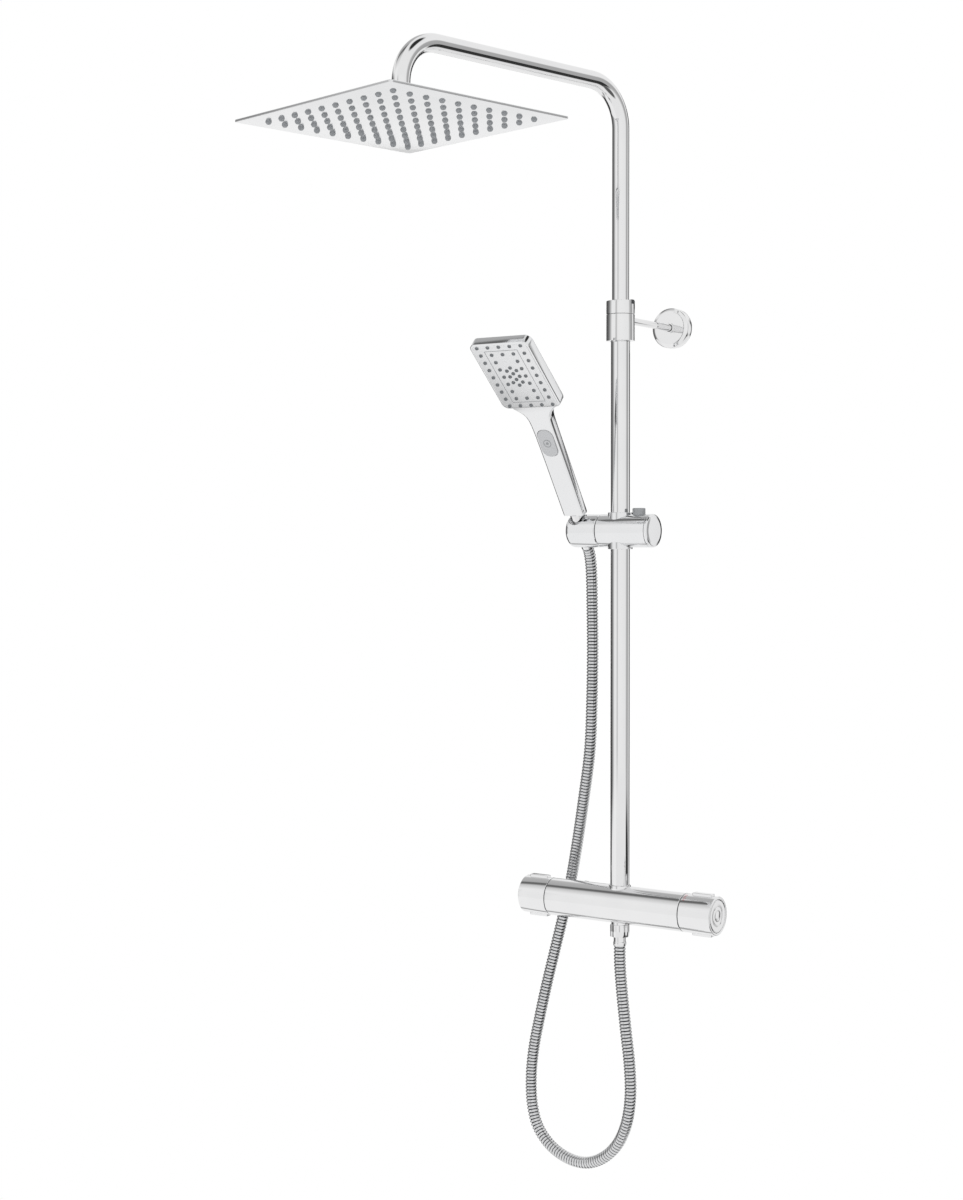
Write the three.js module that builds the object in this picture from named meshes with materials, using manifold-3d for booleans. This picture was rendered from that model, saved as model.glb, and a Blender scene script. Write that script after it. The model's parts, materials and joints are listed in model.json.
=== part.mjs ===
// Rainfall shower column: a thermostatic bar mixer, a telescopic riser with a bent arm and a square
// rain head, and a sliding holder with a handset on a metal hose. Millimetres, +Z up, +X along the
// mixer, +Y to the wall. The origin is midway between the two wall inlets, on their back plane.
import * as THREE from 'three';
import { mergeVertices } from 'three/addons/utils/BufferGeometryUtils.js';
import Module from 'manifold-3d';

const wasm = await Module();
wasm.setup();

// ---------------------------------------------------------------- driving dimensions
const GAP = 0.3;              // air between two pieces that touch
const ROUND = 24;             // sides of a large round piece
const MID_ROUND = 20;         // sides of a nut, seal or ferrule
const SMALL_ROUND = 12;       // sides of a small or hidden round piece
const CUT = 1;                // how far a cutting tool runs past the face it opens

const INLET_REACH = 50;       // inlet nut's back face to the mixer's axis
const INLET_SPACING = 150;    // between the hot and cold inlets
const INLET_BOSS_R = 12;
const INLET_SETBACK = 12;     // inlet nut's back face to the boss's end, where the filter sits
const INLET_BORE_R = 7.5;
const INLET_NUT_R = 15;
const INLET_NUT_LENGTH = 18;
const FILTER_THICK = 2;

const MIXER_R = 22.2;
const BODY_RIGHT = INLET_SPACING / 2 + 12; // axis origin to the right handle's seam
const BODY_LEFT = BODY_RIGHT + 4;          // axis origin to the left handle's seam
const MIXER_HALF = BODY_RIGHT + 41;        // axis origin to either end face
const BODY_WALL = 5.2;
const CHAMBER_R = MIXER_R - BODY_WALL;
const CHAMBER_INNER = 34;     // axis origin to the inner end of each cartridge chamber
const CARTRIDGE_BORE_R = 7;
const CARTRIDGE_NOSE_R = 9;
const CARTRIDGE_NOSE = 6;     // length of the nose
const CARTRIDGE_END = 4;      // wall behind the nose
const SPINDLE_R = 5.5;
const SPINDLE_TAIL = 10;      // length inside the mixer's body
const WAX_R = 5;
const WAX_LENGTH = 20;
const WAX_PIN_R = 2.5;
const WAX_PIN_LENGTH = 6;
const WATERWAY_R = 6;

const HANDLE_WALL = 4;
const HANDLE_HUB_R = 9;
const HANDLE_HUB_SETBACK = 5; // seam to the hub
const HANDLE_HUB_LENGTH = 12;
const HANDLE_WEB = 4;
const HANDLE_END = 9;         // thickness of a handle's end wall, its cap included
const HANDLE_CHAMFER = 0.8;
const CAP_R = MIXER_R - 3.5;
const CAP_THICK = 2.3;
const WING_INNER = BODY_LEFT + 6.5; // axis origin to the near end of each handle's finger wing
const WING_LENGTH = 24.5;
const WING_WIDTH = 9;
const WING_HEIGHT = 2.6;
const STOP_BUTTON_R = 6;
const STOP_BUTTON_LIP = 2;    // the shoulder that keeps the button in

const RISER_R = 11.25;
const RISER_WALL = 0.85;
const RISER_SOCKET_FLOOR = 10; // above the mixer's axis
const RISER_TOP = 700;
const RISER_BORE_R = RISER_R - RISER_WALL;
const SEAL_THICK = 1.7;
const GUIDE_THICK = 1.5;

const COLLAR_WALL = 5.2;
const COLLAR_R = RISER_R + GAP + COLLAR_WALL;
const COLLAR_BOTTOM = RISER_TOP - 39;
const COLLAR_SEAM = RISER_TOP - 8;
const COLLAR_TOP = RISER_TOP + 8;
const TAB_WIDTH = 6;
const TAB_DEPTH = 4;
const TAB_PROUD = 0.6;

const STAY_R = 4.2;
const STAY_HEIGHT = RISER_TOP - 13;
const STAY_THREAD = 9;        // how far the screw enters the rod
const STAY_SCREW_R = 2;
const WALL_REACH = 132.7;     // riser axis to the wall behind the bracket
const FLANGE_R = 24.4;
const FLANGE_THICK = 13.65;
const FLANGE_WALL = 2.2;
const PLATE_THICK = 4;
const PLATE_BOSS_WALL = 2.5;
const PLATE_HOLE_R = 2.5;
const PLATE_HOLE_PLACE = 13;  // plate's centre to each wall screw's hole
const SCREW_HEAD_DEPTH = 2.4;

const ARM_SLIP = 0.4;         // air between the arm and the riser's bore
const ARM_R = RISER_BORE_R - ARM_SLIP;
const ARM_WALL = 1.2;
const ARM_BORE_R = ARM_R - ARM_WALL;
const ARM_FOOT = RISER_TOP - 200;   // lower end of the tube inside the riser
const ARM_HEIGHT = RISER_TOP + 259; // centreline of the level run
const ARM_REACH = 345;        // riser axis to the drop's axis
const ARM_BEND = 50;
const ARM_DROP = 5;           // straight length below the outer bend
const ARM_TIP = ARM_HEIGHT - ARM_BEND - ARM_DROP;
const ARM_TURN = -12;         // degrees about Z, from square to the wall
const BEND_STEPS = 6;
const PLUG_R = RISER_BORE_R - GAP;
const PLUG_BORE_R = 6;
const PLUG_BELOW = 14;
const PLUG_ABOVE = 12;
const GROOVE_DEPTH = 1.8;
const GROOVE_WIDTH = 3;
const GROOVE_PLACE = 5;       // plug's shoulder to the groove

const BALL_R = 9.5;
const BALL_HEIGHT = ARM_TIP - BALL_R - 4.5;
const BALL_NECK_R = BALL_R - 4;
const BALL_BORE_R = 3.5;
const BALL_FLANGE = 2;        // the ring that the arm's end rests on
const BALL_PLUG = ARM_DROP - 0.5;
const BALL_RING_WALL = 0.9;   // the bearing ring between the ball and its cup
const CUP_R = BALL_R + BALL_RING_WALL + 2 * GAP;
const HEAD_MOUTH_R = BALL_R - 1.3;
const SHELL_TOP = BALL_HEIGHT - BALL_R - 0.5;
const SHELL_WALL = 1.3;
const SHELL_EDGE = 7.4;       // crown to the foot of the head's sloping top
const SHELL_CROWN = 60;       // side of the level square in the middle of the head's top
const HEAD_SIDE = 250;
const HEAD_BOTTOM = SHELL_TOP - 10.6;
const FACE_THICK = 1;
const RIM_HEIGHT = 2.6;
const RIM_WIDTH = 1.2;
const MAT_MARGIN = 14.5;      // face's edge to the nozzle mat
const MAT_THICK = 1;
const BOSS_R = CUP_R + 2;
const BOSS_TOP = BALL_HEIGHT - 2;
const HEAD_NUT_R = BOSS_R + 3;
const HEAD_NUT_TOP = BALL_HEIGHT + BALL_R - 1.7;
const HEAD_NUT_FOOT = SHELL_TOP + 1.3;
const HEAD_NUT_CHAMFER = 3;

const SLIDER_HEIGHT = 439;
const SLIDER_R = 19.5;
const SLIDER_LEFT = 24;
const SLIDER_RIGHT = 41.2;
const SLIDER_CAP_THICK = 4.5;
const SLIDER_CAP_PLUG = 4.5;
const SLIDER_CAP_ROUND = 1.2;
const SLIDER_CAP_LAND = 5;    // width of the rim around the cap's seat
const BUSH_WALL = 1.65;
const BUSH_R = RISER_R + GAP + BUSH_WALL;
const BUSH_COLLAR_R = BUSH_R + 1.3;
const BUSH_COLLAR_BASE = SLIDER_R - 6.2; // slider axis to the underside of the bush's collar
const BUSH_HALF = SLIDER_R + 2;          // slider axis to the top of the bush's collar
const BUTTON_X = BUSH_R + 11.8;
const BUTTON_R = 7.5;
const BUTTON_FOOT = 5;        // above the slider's axis
const BUTTON_TOP = SLIDER_R + 7;
const BUTTON_WELL = -6;
const SPRING_R = 4.5;
const SPRING_WIRE_R = 0.55;
const SPRING_TURNS = 3;
const SHOE_INNER = BUSH_R + 0.8;
const SHOE_THICK = 3.2;
const SHOE_HALF = 4;

const HOLDER_LEFT = 66;
const HOLDER_ROUND = 7;
const HOLDER_X = -52;         // the conical socket's place along the slider
const SOCKET_TILT = 34;       // degrees from upright, leaning away from the wall
const SOCKET_CLEARANCE = 0.4;
const PIN_R = 3.7;
const PIN_IN_SLIDER = 7.3;
const PIN_IN_HOLDER = 13.4;
const WASHER_R = 12;
const WASHER_THICK = 1.2;

const CONE_TOP = 12;          // along the socket's axis, from the slider's axis
const CONE_BOTTOM = -14;
const CONE_TOP_R = 10.8;
const CONE_BOTTOM_R = 9.6;
const THREAD_R = 8.6;
const NECK_R = 7.6;           // the connector above the nut
const THREAD_FOOT = -0.8;
const NUT_LIP = 2;            // thickness of a hose nut's inner lip, and of the flange it holds
const FERRULE_R = 7.5;
const FERRULE_FLANGE_R = 8.5;
const FERRULE_BORE_R = 4.5;
const FERRULE_END = -22;
const HOSE_R = 7;
const HOSE_STEPS = 44;

const HANDLE_BASE = 25;       // along the socket's axis, from the slider's axis
const HEAD_LENGTH = 101;      // handset's spray head
const HEAD_WIDTH = 78;
const HEAD_DEPTH = 12.6;
const HEAD_CORNER = 8;
const HEAD_LEAN = 14.2;       // degrees the head leans on from the handle
const HEAD_FOOT_Y = -6.2;     // foot of the spray head's mid plane, in the handle's frame
const HEAD_FOOT_Z = 178.5;
const HANDSET_FACE_THICK = 2;
const HANDSET_MAT_THICK = 1.6;
const HANDSET_RECESS = 7.5;
const FACE_MARGIN = 3;
const MAT_INSET = 1;          // face plate's edge to the mat's
const SELECTOR_INSET = 4;     // face plate's edge to the selector's
const SECTION_POINTS = 24;    // points round the handset's skin
const HANDSET_BORE_R = 3.6;
const LINK_R = 2.6;           // channel from the handle's bore into the head
const NECK_Z = 152;
const LINK_END = HEAD_FOOT_Z + 15;
const MODE_BUTTON_Z = 127;
const MODE_BUTTON_LENGTH = 36;
const MODE_BUTTON_WIDTH = 21;
const MODE_BUTTON_TRAVEL = 1.5;
const MODE_BUTTON_FACE = 8.3;  // handle's axis to the button's face
const MODE_BUTTON_DEPTH = 2.4;
const MODE_WELL_OPEN = 5;     // how far the well's cut runs past the button's face
const HANDLE_FRONT_LEAN = 1;  // degrees the handle's front leans on at the button

const OUTLET_NUT_R = 11.35;
const OUTLET_NUT_TOP = -MIXER_R - 0.8;
const OUTLET_NUT_BOTTOM = OUTLET_NUT_TOP - 14.5;
const OUTLET_NUT_CHAMFER = 1.5;
const NIPPLE_R = 9.8;
const NIPPLE_DEPTH = 6;       // how far the nipple enters the mixer
const NIPPLE_BOTTOM = OUTLET_NUT_TOP - 8;
const VALVE_BORE_R = 2.5;
const VALVE_LENGTH = 8;
const HOSE_WASHER_THICK = 2;
const HOSE_END = NIPPLE_BOTTOM - 17;

// The hose's centreline from the handset's ferrule to the mixer's outlet, in the mixer's frame.
const HOSE_ROUTE = [
  [-52, 12.6, 420.3], [-52, 17, 413], [-52.3, 21, 400], [-52.4, 23.2, 380], [-52, 23.6, 350],
  [-51.2, 23.4, 300], [-53, 25, 240], [-58.5, 29.5, 176], [-71.5, 37, 115], [-87, 46, 53],
  [-97.5, 51.5, 15], [-107, 49, -30], [-117.5, 44, -79], [-125.5, 39.5, -118], [-133.5, 36.5, -158],
  [-140, 33.5, -196], [-142.3, 31, -230], [-139, 28, -264], [-129, 25, -290], [-108, 21, -309],
  [-80, 16.5, -318.5], [-52, 12, -317.5], [-27, 8, -306], [-6, 5, -286], [8, 2.5, -258],
  [14, 1, -225], [13.2, 0.3, -188], [8.6, 0, -150], [3.6, 0, -108], [0.6, 0, -76], [0, 0, -60],
  [0, 0, -48.4],
];

// ---------------------------------------------------------------- materials
const finish = (color, metalness, roughness) =>
  new THREE.MeshStandardMaterial({ color, metalness, roughness });
const CHROME = finish('#d9dcdf', 1, 0.08);
const STEEL = finish('#cfd2d4', 1, 0.2);
const BRASS = finish('#b99a55', 1, 0.35);
const DARK_PLASTIC = finish('#26282b', 0, 0.5);
const WHITE_PLASTIC = finish('#e6e7e8', 0, 0.4);
const SILICONE = finish('#6a6d70', 0, 0.7);
const RUBBER = finish('#1c1c1d', 0, 0.8);

// ---------------------------------------------------------------- solids
// A closed geometry as a manifold-3d solid, turned the right way out.
function solid(geometry) {
  const bare = geometry.index ? geometry.toNonIndexed() : geometry.clone();
  bare.deleteAttribute('normal');
  bare.deleteAttribute('uv');
  const merged = mergeVertices(bare, 1e-4);
  const at = merged.getAttribute('position').array;
  const faces = [];
  const corners = merged.index.array;
  for (let i = 0; i < corners.length; i += 3) {
    const [a, b, c] = corners.slice(i, i + 3);
    if (a !== b && b !== c && c !== a) faces.push(a, b, c);
  }
  if (volume(at, faces) < 0) faces.reverse();
  const mesh = { numProp: 3, vertProperties: new Float32Array(at), triVerts: new Uint32Array(faces) };
  return new wasm.Manifold(new wasm.Mesh(mesh));
}

function volume(at, faces) {
  const corner = (i) => new THREE.Vector3().fromArray(at, 3 * i);
  let sum = 0;
  for (let i = 0; i < faces.length; i += 3) {
    const [a, b, c] = faces.slice(i, i + 3).map(corner);
    sum += a.dot(b.cross(c));
  }
  return sum;
}

const cut = (body, ...tools) => tools.reduce((left, tool) => left.subtract(tool), body);
const join = (body, ...more) => more.reduce((sum, piece) => sum.add(piece), body);
const moved = (body, x, y, z) => body.translate([x, y, z]);

// A solid of revolution about Z from [radius, z] points, which close on themselves or on the axis.
function turned(points, sides = ROUND) {
  const onAxis = points[0][0] === 0;
  const loop = onAxis ? points : [...points, points[0]];
  const profile = loop.map(([r, z]) => new THREE.Vector2(r, z));
  return solid(new THREE.LatheGeometry(profile, sides).rotateX(Math.PI / 2));
}

const disc = (r, low, high, sides = ROUND) => turned([[0, low], [r, low], [r, high], [0, high]], sides);
const ring = (outer, inner, low, high, sides = ROUND) =>
  turned([[inner, low], [outer, low], [outer, high], [inner, high]], sides);
const alongX = (body) => body.rotate([0, 90, 0]);
const alongY = (body) => body.rotate([-90, 0, 0]);

function block(x, y, z) {
  const size = [x, y, z].map(([low, high]) => high - low);
  const centre = [x, y, z].map(([low, high]) => (low + high) / 2);
  return moved(solid(new THREE.BoxGeometry(...size)), ...centre);
}

// A prism of a rounded rectangle, from low to high along Z.
function slab(width, length, corner, low, high, steps = 4) {
  const [x, y] = [width / 2 - corner, length / 2 - corner];
  const shape = new THREE.Shape();
  shape.absarc(x, y, corner, 0, Math.PI / 2);
  shape.absarc(-x, y, corner, Math.PI / 2, Math.PI);
  shape.absarc(-x, -y, corner, Math.PI, 1.5 * Math.PI);
  shape.absarc(x, -y, corner, 1.5 * Math.PI, 2 * Math.PI);
  const options = { depth: high - low, bevelEnabled: false, curveSegments: steps };
  return moved(solid(new THREE.ExtrudeGeometry(shape, options)), 0, 0, low);
}

// A closed skin over rings of points that all have the same count.
function loft(rings) {
  const count = rings[0].length;
  const at = rings.flat(2);
  const faces = [];
  for (let i = 0; i + 1 < rings.length; i += 1) {
    for (let j = 0; j < count; j += 1) {
      const [a, b] = [i * count + j, i * count + ((j + 1) % count)];
      faces.push(a, b, a + count, b, b + count, a + count);
    }
  }
  const last = (rings.length - 1) * count;
  for (let j = 1; j + 1 < count; j += 1) {
    faces.push(0, j + 1, j, last, last + j, last + j + 1);
  }
  const geometry = new THREE.BufferGeometry();
  geometry.setAttribute('position', new THREE.BufferAttribute(new Float32Array(at), 3));
  geometry.setIndex(faces);
  return solid(geometry);
}

// A path whose stations are given one by one, so straight runs take one step and bends several.
class Stations extends THREE.Curve {
  constructor(stops) {
    super();
    this.stops = stops;
  }

  getPointAt(u) {
    return this.stops[Math.round(u * (this.stops.length - 1))].point.clone();
  }

  getPoint(u) {
    return this.getPointAt(u);
  }

  getTangentAt(u) {
    return this.stops[Math.round(u * (this.stops.length - 1))].along.clone();
  }
}

// A round bar or tube along a path.
function pipe(path, steps, outer, inner = 0, sides = 10) {
  const shape = new THREE.Shape().absarc(0, 0, outer, 0, 2 * Math.PI);
  if (inner > 0) shape.holes.push(new THREE.Path().absarc(0, 0, inner, 0, 2 * Math.PI, true));
  const options = { extrudePath: path, steps, curveSegments: sides, bevelEnabled: false };
  return solid(new THREE.ExtrudeGeometry(shape, options));
}

// ---------------------------------------------------------------- the scene graph
const column = new THREE.Group();
column.position.set(0, -INLET_REACH, 0);

function add(parent, name, body, material) {
  const made = body.getMesh();
  const geometry = new THREE.BufferGeometry();
  const at = new Float32Array(made.vertProperties);
  geometry.setAttribute('position', new THREE.BufferAttribute(at, 3));
  geometry.setIndex(new THREE.BufferAttribute(new Uint32Array(made.triVerts), 1));
  geometry.computeVertexNormals();
  const mesh = new THREE.Mesh(geometry, material);
  mesh.name = name;
  parent.add(mesh);
}

function group(parent, x, y, z) {
  const made = new THREE.Group();
  made.position.set(x, y, z);
  parent.add(made);
  return made;
}

// ---------------------------------------------------------------- mixer
function mixerBody() {
  const shell = alongX(disc(MIXER_R, -BODY_LEFT, BODY_RIGHT));
  const boss = alongY(disc(INLET_BOSS_R, CHAMBER_R - 2, INLET_REACH - INLET_SETBACK, SMALL_ROUND));
  const inlets = [-1, 1].map((side) => moved(boss, (side * INLET_SPACING) / 2, 0, 0));
  const bore = alongY(disc(INLET_BORE_R, 0, INLET_REACH, SMALL_ROUND));
  const bores = [-1, 1].map((side) => moved(bore, (side * INLET_SPACING) / 2, 0, 0));
  const chambers = [
    alongX(disc(CHAMBER_R, CHAMBER_INNER, BODY_RIGHT + CUT)),
    alongX(disc(CHAMBER_R, -BODY_LEFT - CUT, -CHAMBER_INNER)),
  ];
  const across = alongX(disc(WATERWAY_R, -CHAMBER_INNER - CUT, CHAMBER_INNER + CUT, SMALL_ROUND));
  const upright = disc(WATERWAY_R, -MIXER_R, MIXER_R, SMALL_ROUND);
  const riserSocket = disc(RISER_R + GAP, RISER_SOCKET_FLOOR, MIXER_R + CUT);
  const outletSocket = disc(NIPPLE_R + GAP, -MIXER_R - CUT, -MIXER_R + NIPPLE_DEPTH, MID_ROUND);
  return cut(join(shell, ...inlets), ...bores, ...chambers, across, upright, riserSocket, outletSocket);
}

function inletNut() {
  const [low, high] = [INLET_REACH - INLET_NUT_LENGTH, INLET_REACH];
  return alongY(ring(INLET_NUT_R, INLET_BOSS_R + GAP, low, high, MID_ROUND));
}

function inletFilter() {
  const start = INLET_REACH - INLET_SETBACK + GAP;
  return alongY(ring(INLET_BOSS_R - GAP, INLET_BORE_R, start, start + FILTER_THICK, SMALL_ROUND));
}

// A cartridge from the chamber's inner end to its mouth at far, with a round nose through a shoulder.
function cartridge(far) {
  const nose = far - 1;
  const shoulder = nose - CARTRIDGE_NOSE;
  const low = CHAMBER_INNER + GAP;
  const back = shoulder - CARTRIDGE_END;
  return alongX(turned([
    [CARTRIDGE_BORE_R, low], [CHAMBER_R - GAP, low], [CHAMBER_R - GAP, shoulder],
    [CARTRIDGE_NOSE_R, shoulder], [CARTRIDGE_NOSE_R, nose], [SPINDLE_R + GAP, nose],
    [SPINDLE_R + GAP, back], [CARTRIDGE_BORE_R, back],
  ], MID_ROUND));
}

function spindle(far) {
  return alongX(disc(SPINDLE_R, far - SPINDLE_TAIL, far + HANDLE_HUB_SETBACK + HANDLE_HUB_LENGTH - 2, 8));
}

function waxElement() {
  const start = CHAMBER_INNER + CARTRIDGE_END;
  const [shoulder, tip] = [start + WAX_LENGTH, start + WAX_LENGTH + WAX_PIN_LENGTH];
  return alongX(turned([
    [0, start], [WAX_R, start], [WAX_R, shoulder], [WAX_PIN_R, shoulder], [WAX_PIN_R, tip], [0, tip],
  ], SMALL_ROUND));
}

// A handle from its seam at near to the mixer's end, with two finger wings and a hub for its spindle.
function handle(near, throughHole) {
  const inside = MIXER_HALF - HANDLE_END;
  const shell = alongX(turned([
    [0, inside], [MIXER_R - HANDLE_WALL, inside], [MIXER_R - HANDLE_WALL, near + GAP],
    [MIXER_R, near + GAP], [MIXER_R, MIXER_HALF - HANDLE_CHAMFER],
    [MIXER_R - HANDLE_CHAMFER, MIXER_HALF],
    [CAP_R + GAP, MIXER_HALF], [CAP_R + GAP, MIXER_HALF - CAP_THICK - GAP],
    [0, MIXER_HALF - CAP_THICK - GAP],
  ]));
  const wings = [-1, 1].map((side) => {
    const z = [MIXER_R - 2, MIXER_R + WING_HEIGHT].map((r) => side * r).sort((a, b) => a - b);
    return block([WING_INNER, WING_INNER + WING_LENGTH], [-WING_WIDTH / 2, WING_WIDTH / 2], z);
  });
  const hubStart = near + HANDLE_HUB_SETBACK;
  const hubEnd = hubStart + HANDLE_HUB_LENGTH;
  const hub = alongX(ring(HANDLE_HUB_R, SPINDLE_R + GAP, hubStart, hubEnd, MID_ROUND));
  const web = alongX(ring(MIXER_R - 2, HANDLE_HUB_R - 1, hubEnd - HANDLE_WEB, hubEnd, MID_ROUND));
  const body = join(shell, ...wings, hub, web);
  return throughHole ? cut(body, alongX(disc(throughHole, inside - CUT, MIXER_HALF, MID_ROUND))) : body;
}

function handleCap(hole) {
  const low = MIXER_HALF - CAP_THICK;
  const body = hole ? ring(CAP_R, hole, low, MIXER_HALF) : disc(CAP_R, low, MIXER_HALF);
  return alongX(body);
}

function stopButton() {
  const back = MIXER_HALF - HANDLE_END - GAP;
  return alongX(turned([
    [0, back - STOP_BUTTON_LIP], [STOP_BUTTON_R + STOP_BUTTON_LIP, back - STOP_BUTTON_LIP],
    [STOP_BUTTON_R + STOP_BUTTON_LIP, back], [STOP_BUTTON_R, back],
    [STOP_BUTTON_R, MIXER_HALF - HANDLE_CHAMFER], [STOP_BUTTON_R - HANDLE_CHAMFER, MIXER_HALF],
    [0, MIXER_HALF],
  ], MID_ROUND));
}

function addMixer(parent) {
  add(parent, 'mixer_body', mixerBody(), CHROME);
  for (const [name, side] of [['left', -1], ['right', 1]]) {
    const x = (side * INLET_SPACING) / 2;
    add(parent, `inlet_nut_${name}`, moved(inletNut(), x, 0, 0), CHROME);
    add(parent, `inlet_filter_${name}`, moved(inletFilter(), x, 0, 0), STEEL);
  }
  const stopHole = STOP_BUTTON_R + GAP;
  add(parent, 'thermostat_cartridge', cartridge(BODY_RIGHT), BRASS);
  add(parent, 'wax_element', waxElement(), BRASS);
  add(parent, 'thermostat_spindle', spindle(BODY_RIGHT), BRASS);
  add(parent, 'temperature_handle', handle(BODY_RIGHT, stopHole), CHROME);
  add(parent, 'temperature_cap', handleCap(stopHole), CHROME);
  add(parent, 'stop_button', stopButton(), CHROME);
  const left = (body) => body.mirror([1, 0, 0]);
  add(parent, 'flow_cartridge', left(cartridge(BODY_LEFT)), WHITE_PLASTIC);
  add(parent, 'flow_spindle', left(spindle(BODY_LEFT)), BRASS);
  add(parent, 'flow_handle', left(handle(BODY_LEFT, 0)), CHROME);
  add(parent, 'flow_cap', left(handleCap(0)), CHROME);
}

// ---------------------------------------------------------------- hose outlet
function addOutlet(parent) {
  const washerTop = NIPPLE_BOTTOM - GAP;
  const washerLow = washerTop - HOSE_WASHER_THICK;
  const flangeTop = washerLow - GAP;
  const lipTop = flangeTop - NUT_LIP - GAP;
  const nippleTop = -MIXER_R + NIPPLE_DEPTH - GAP;
  const nipple = ring(NIPPLE_R, WATERWAY_R, NIPPLE_BOTTOM, nippleTop, MID_ROUND);
  add(parent, 'outlet_nipple', nipple, BRASS);
  const valveLow = NIPPLE_BOTTOM + 1;
  const valve = ring(WATERWAY_R - GAP, VALVE_BORE_R, valveLow, valveLow + VALVE_LENGTH, SMALL_ROUND);
  add(parent, 'outlet_check_valve', valve, WHITE_PLASTIC);
  const washer = ring(FERRULE_FLANGE_R, FERRULE_BORE_R + 0.5, washerLow, washerTop, MID_ROUND);
  add(parent, 'hose_washer', washer, RUBBER);
  const nut = turned([
    [NIPPLE_R + GAP, OUTLET_NUT_TOP], [NIPPLE_R + GAP, lipTop], [FERRULE_R + GAP, lipTop],
    [FERRULE_R + GAP, OUTLET_NUT_BOTTOM], [OUTLET_NUT_R - 1, OUTLET_NUT_BOTTOM],
    [OUTLET_NUT_R, OUTLET_NUT_BOTTOM + OUTLET_NUT_CHAMFER], [OUTLET_NUT_R, OUTLET_NUT_TOP],
  ]);
  add(parent, 'outlet_nut', nut, CHROME);
  const ferrule = turned([
    [FERRULE_BORE_R, HOSE_END], [FERRULE_R, HOSE_END], [FERRULE_R, flangeTop - NUT_LIP],
    [FERRULE_FLANGE_R, flangeTop - NUT_LIP], [FERRULE_FLANGE_R, flangeTop],
    [FERRULE_BORE_R, flangeTop],
  ], MID_ROUND);
  add(parent, 'hose_ferrule_lower', ferrule, CHROME);
}

// ---------------------------------------------------------------- riser and wall bracket
function addRiser(parent) {
  const sealTop = RISER_SOCKET_FLOOR + GAP + SEAL_THICK;
  const seal = ring(RISER_R - GAP, WATERWAY_R + 1, RISER_SOCKET_FLOOR + GAP, sealTop, MID_ROUND);
  add(parent, 'riser_seal', seal, RUBBER);
  add(parent, 'riser_tube', ring(RISER_R, RISER_BORE_R, sealTop + GAP, RISER_TOP), CHROME);
  const guideLow = RISER_TOP + GAP;
  const guide = ring(RISER_R, ARM_R + GAP, guideLow, guideLow + GUIDE_THICK, MID_ROUND);
  add(parent, 'guide_ring', guide, DARK_PLASTIC);
}

function addBracket(parent) {
  const bore = RISER_R + GAP;
  const collar = cut(
    ring(COLLAR_R, bore, COLLAR_BOTTOM, COLLAR_SEAM),
    moved(alongY(disc(STAY_R + GAP, 0, COLLAR_R + CUT, SMALL_ROUND)), 0, 0, STAY_HEIGHT),
  );
  add(parent, 'bracket_collar', collar, CHROME);
  const shelf = RISER_TOP + 2 * GAP + GUIDE_THICK;
  const lockRing = turned([
    [bore, COLLAR_SEAM + GAP], [COLLAR_R, COLLAR_SEAM + GAP], [COLLAR_R, COLLAR_TOP],
    [ARM_R + GAP, COLLAR_TOP], [ARM_R + GAP, shelf], [bore, shelf],
  ]);
  const slotHalf = TAB_WIDTH / 2 + GAP;
  const slotFloor = COLLAR_TOP - TAB_DEPTH - GAP;
  const slot = block([0, COLLAR_R + CUT], [-slotHalf, slotHalf], [slotFloor, COLLAR_TOP + CUT]);
  add(parent, 'lock_ring', cut(lockRing, slot), CHROME);
  const tabBlock = block(
    [0, COLLAR_R + TAB_PROUD],
    [-TAB_WIDTH / 2, TAB_WIDTH / 2],
    [slotFloor + GAP, COLLAR_TOP + TAB_PROUD],
  );
  const tabInside = disc(ARM_R + GAP, slotFloor - CUT, COLLAR_TOP + 2 * CUT);
  add(parent, 'lock_tab', cut(tabBlock, tabInside), DARK_PLASTIC);
  addStay(group(parent, 0, 0, STAY_HEIGHT));
}

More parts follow.
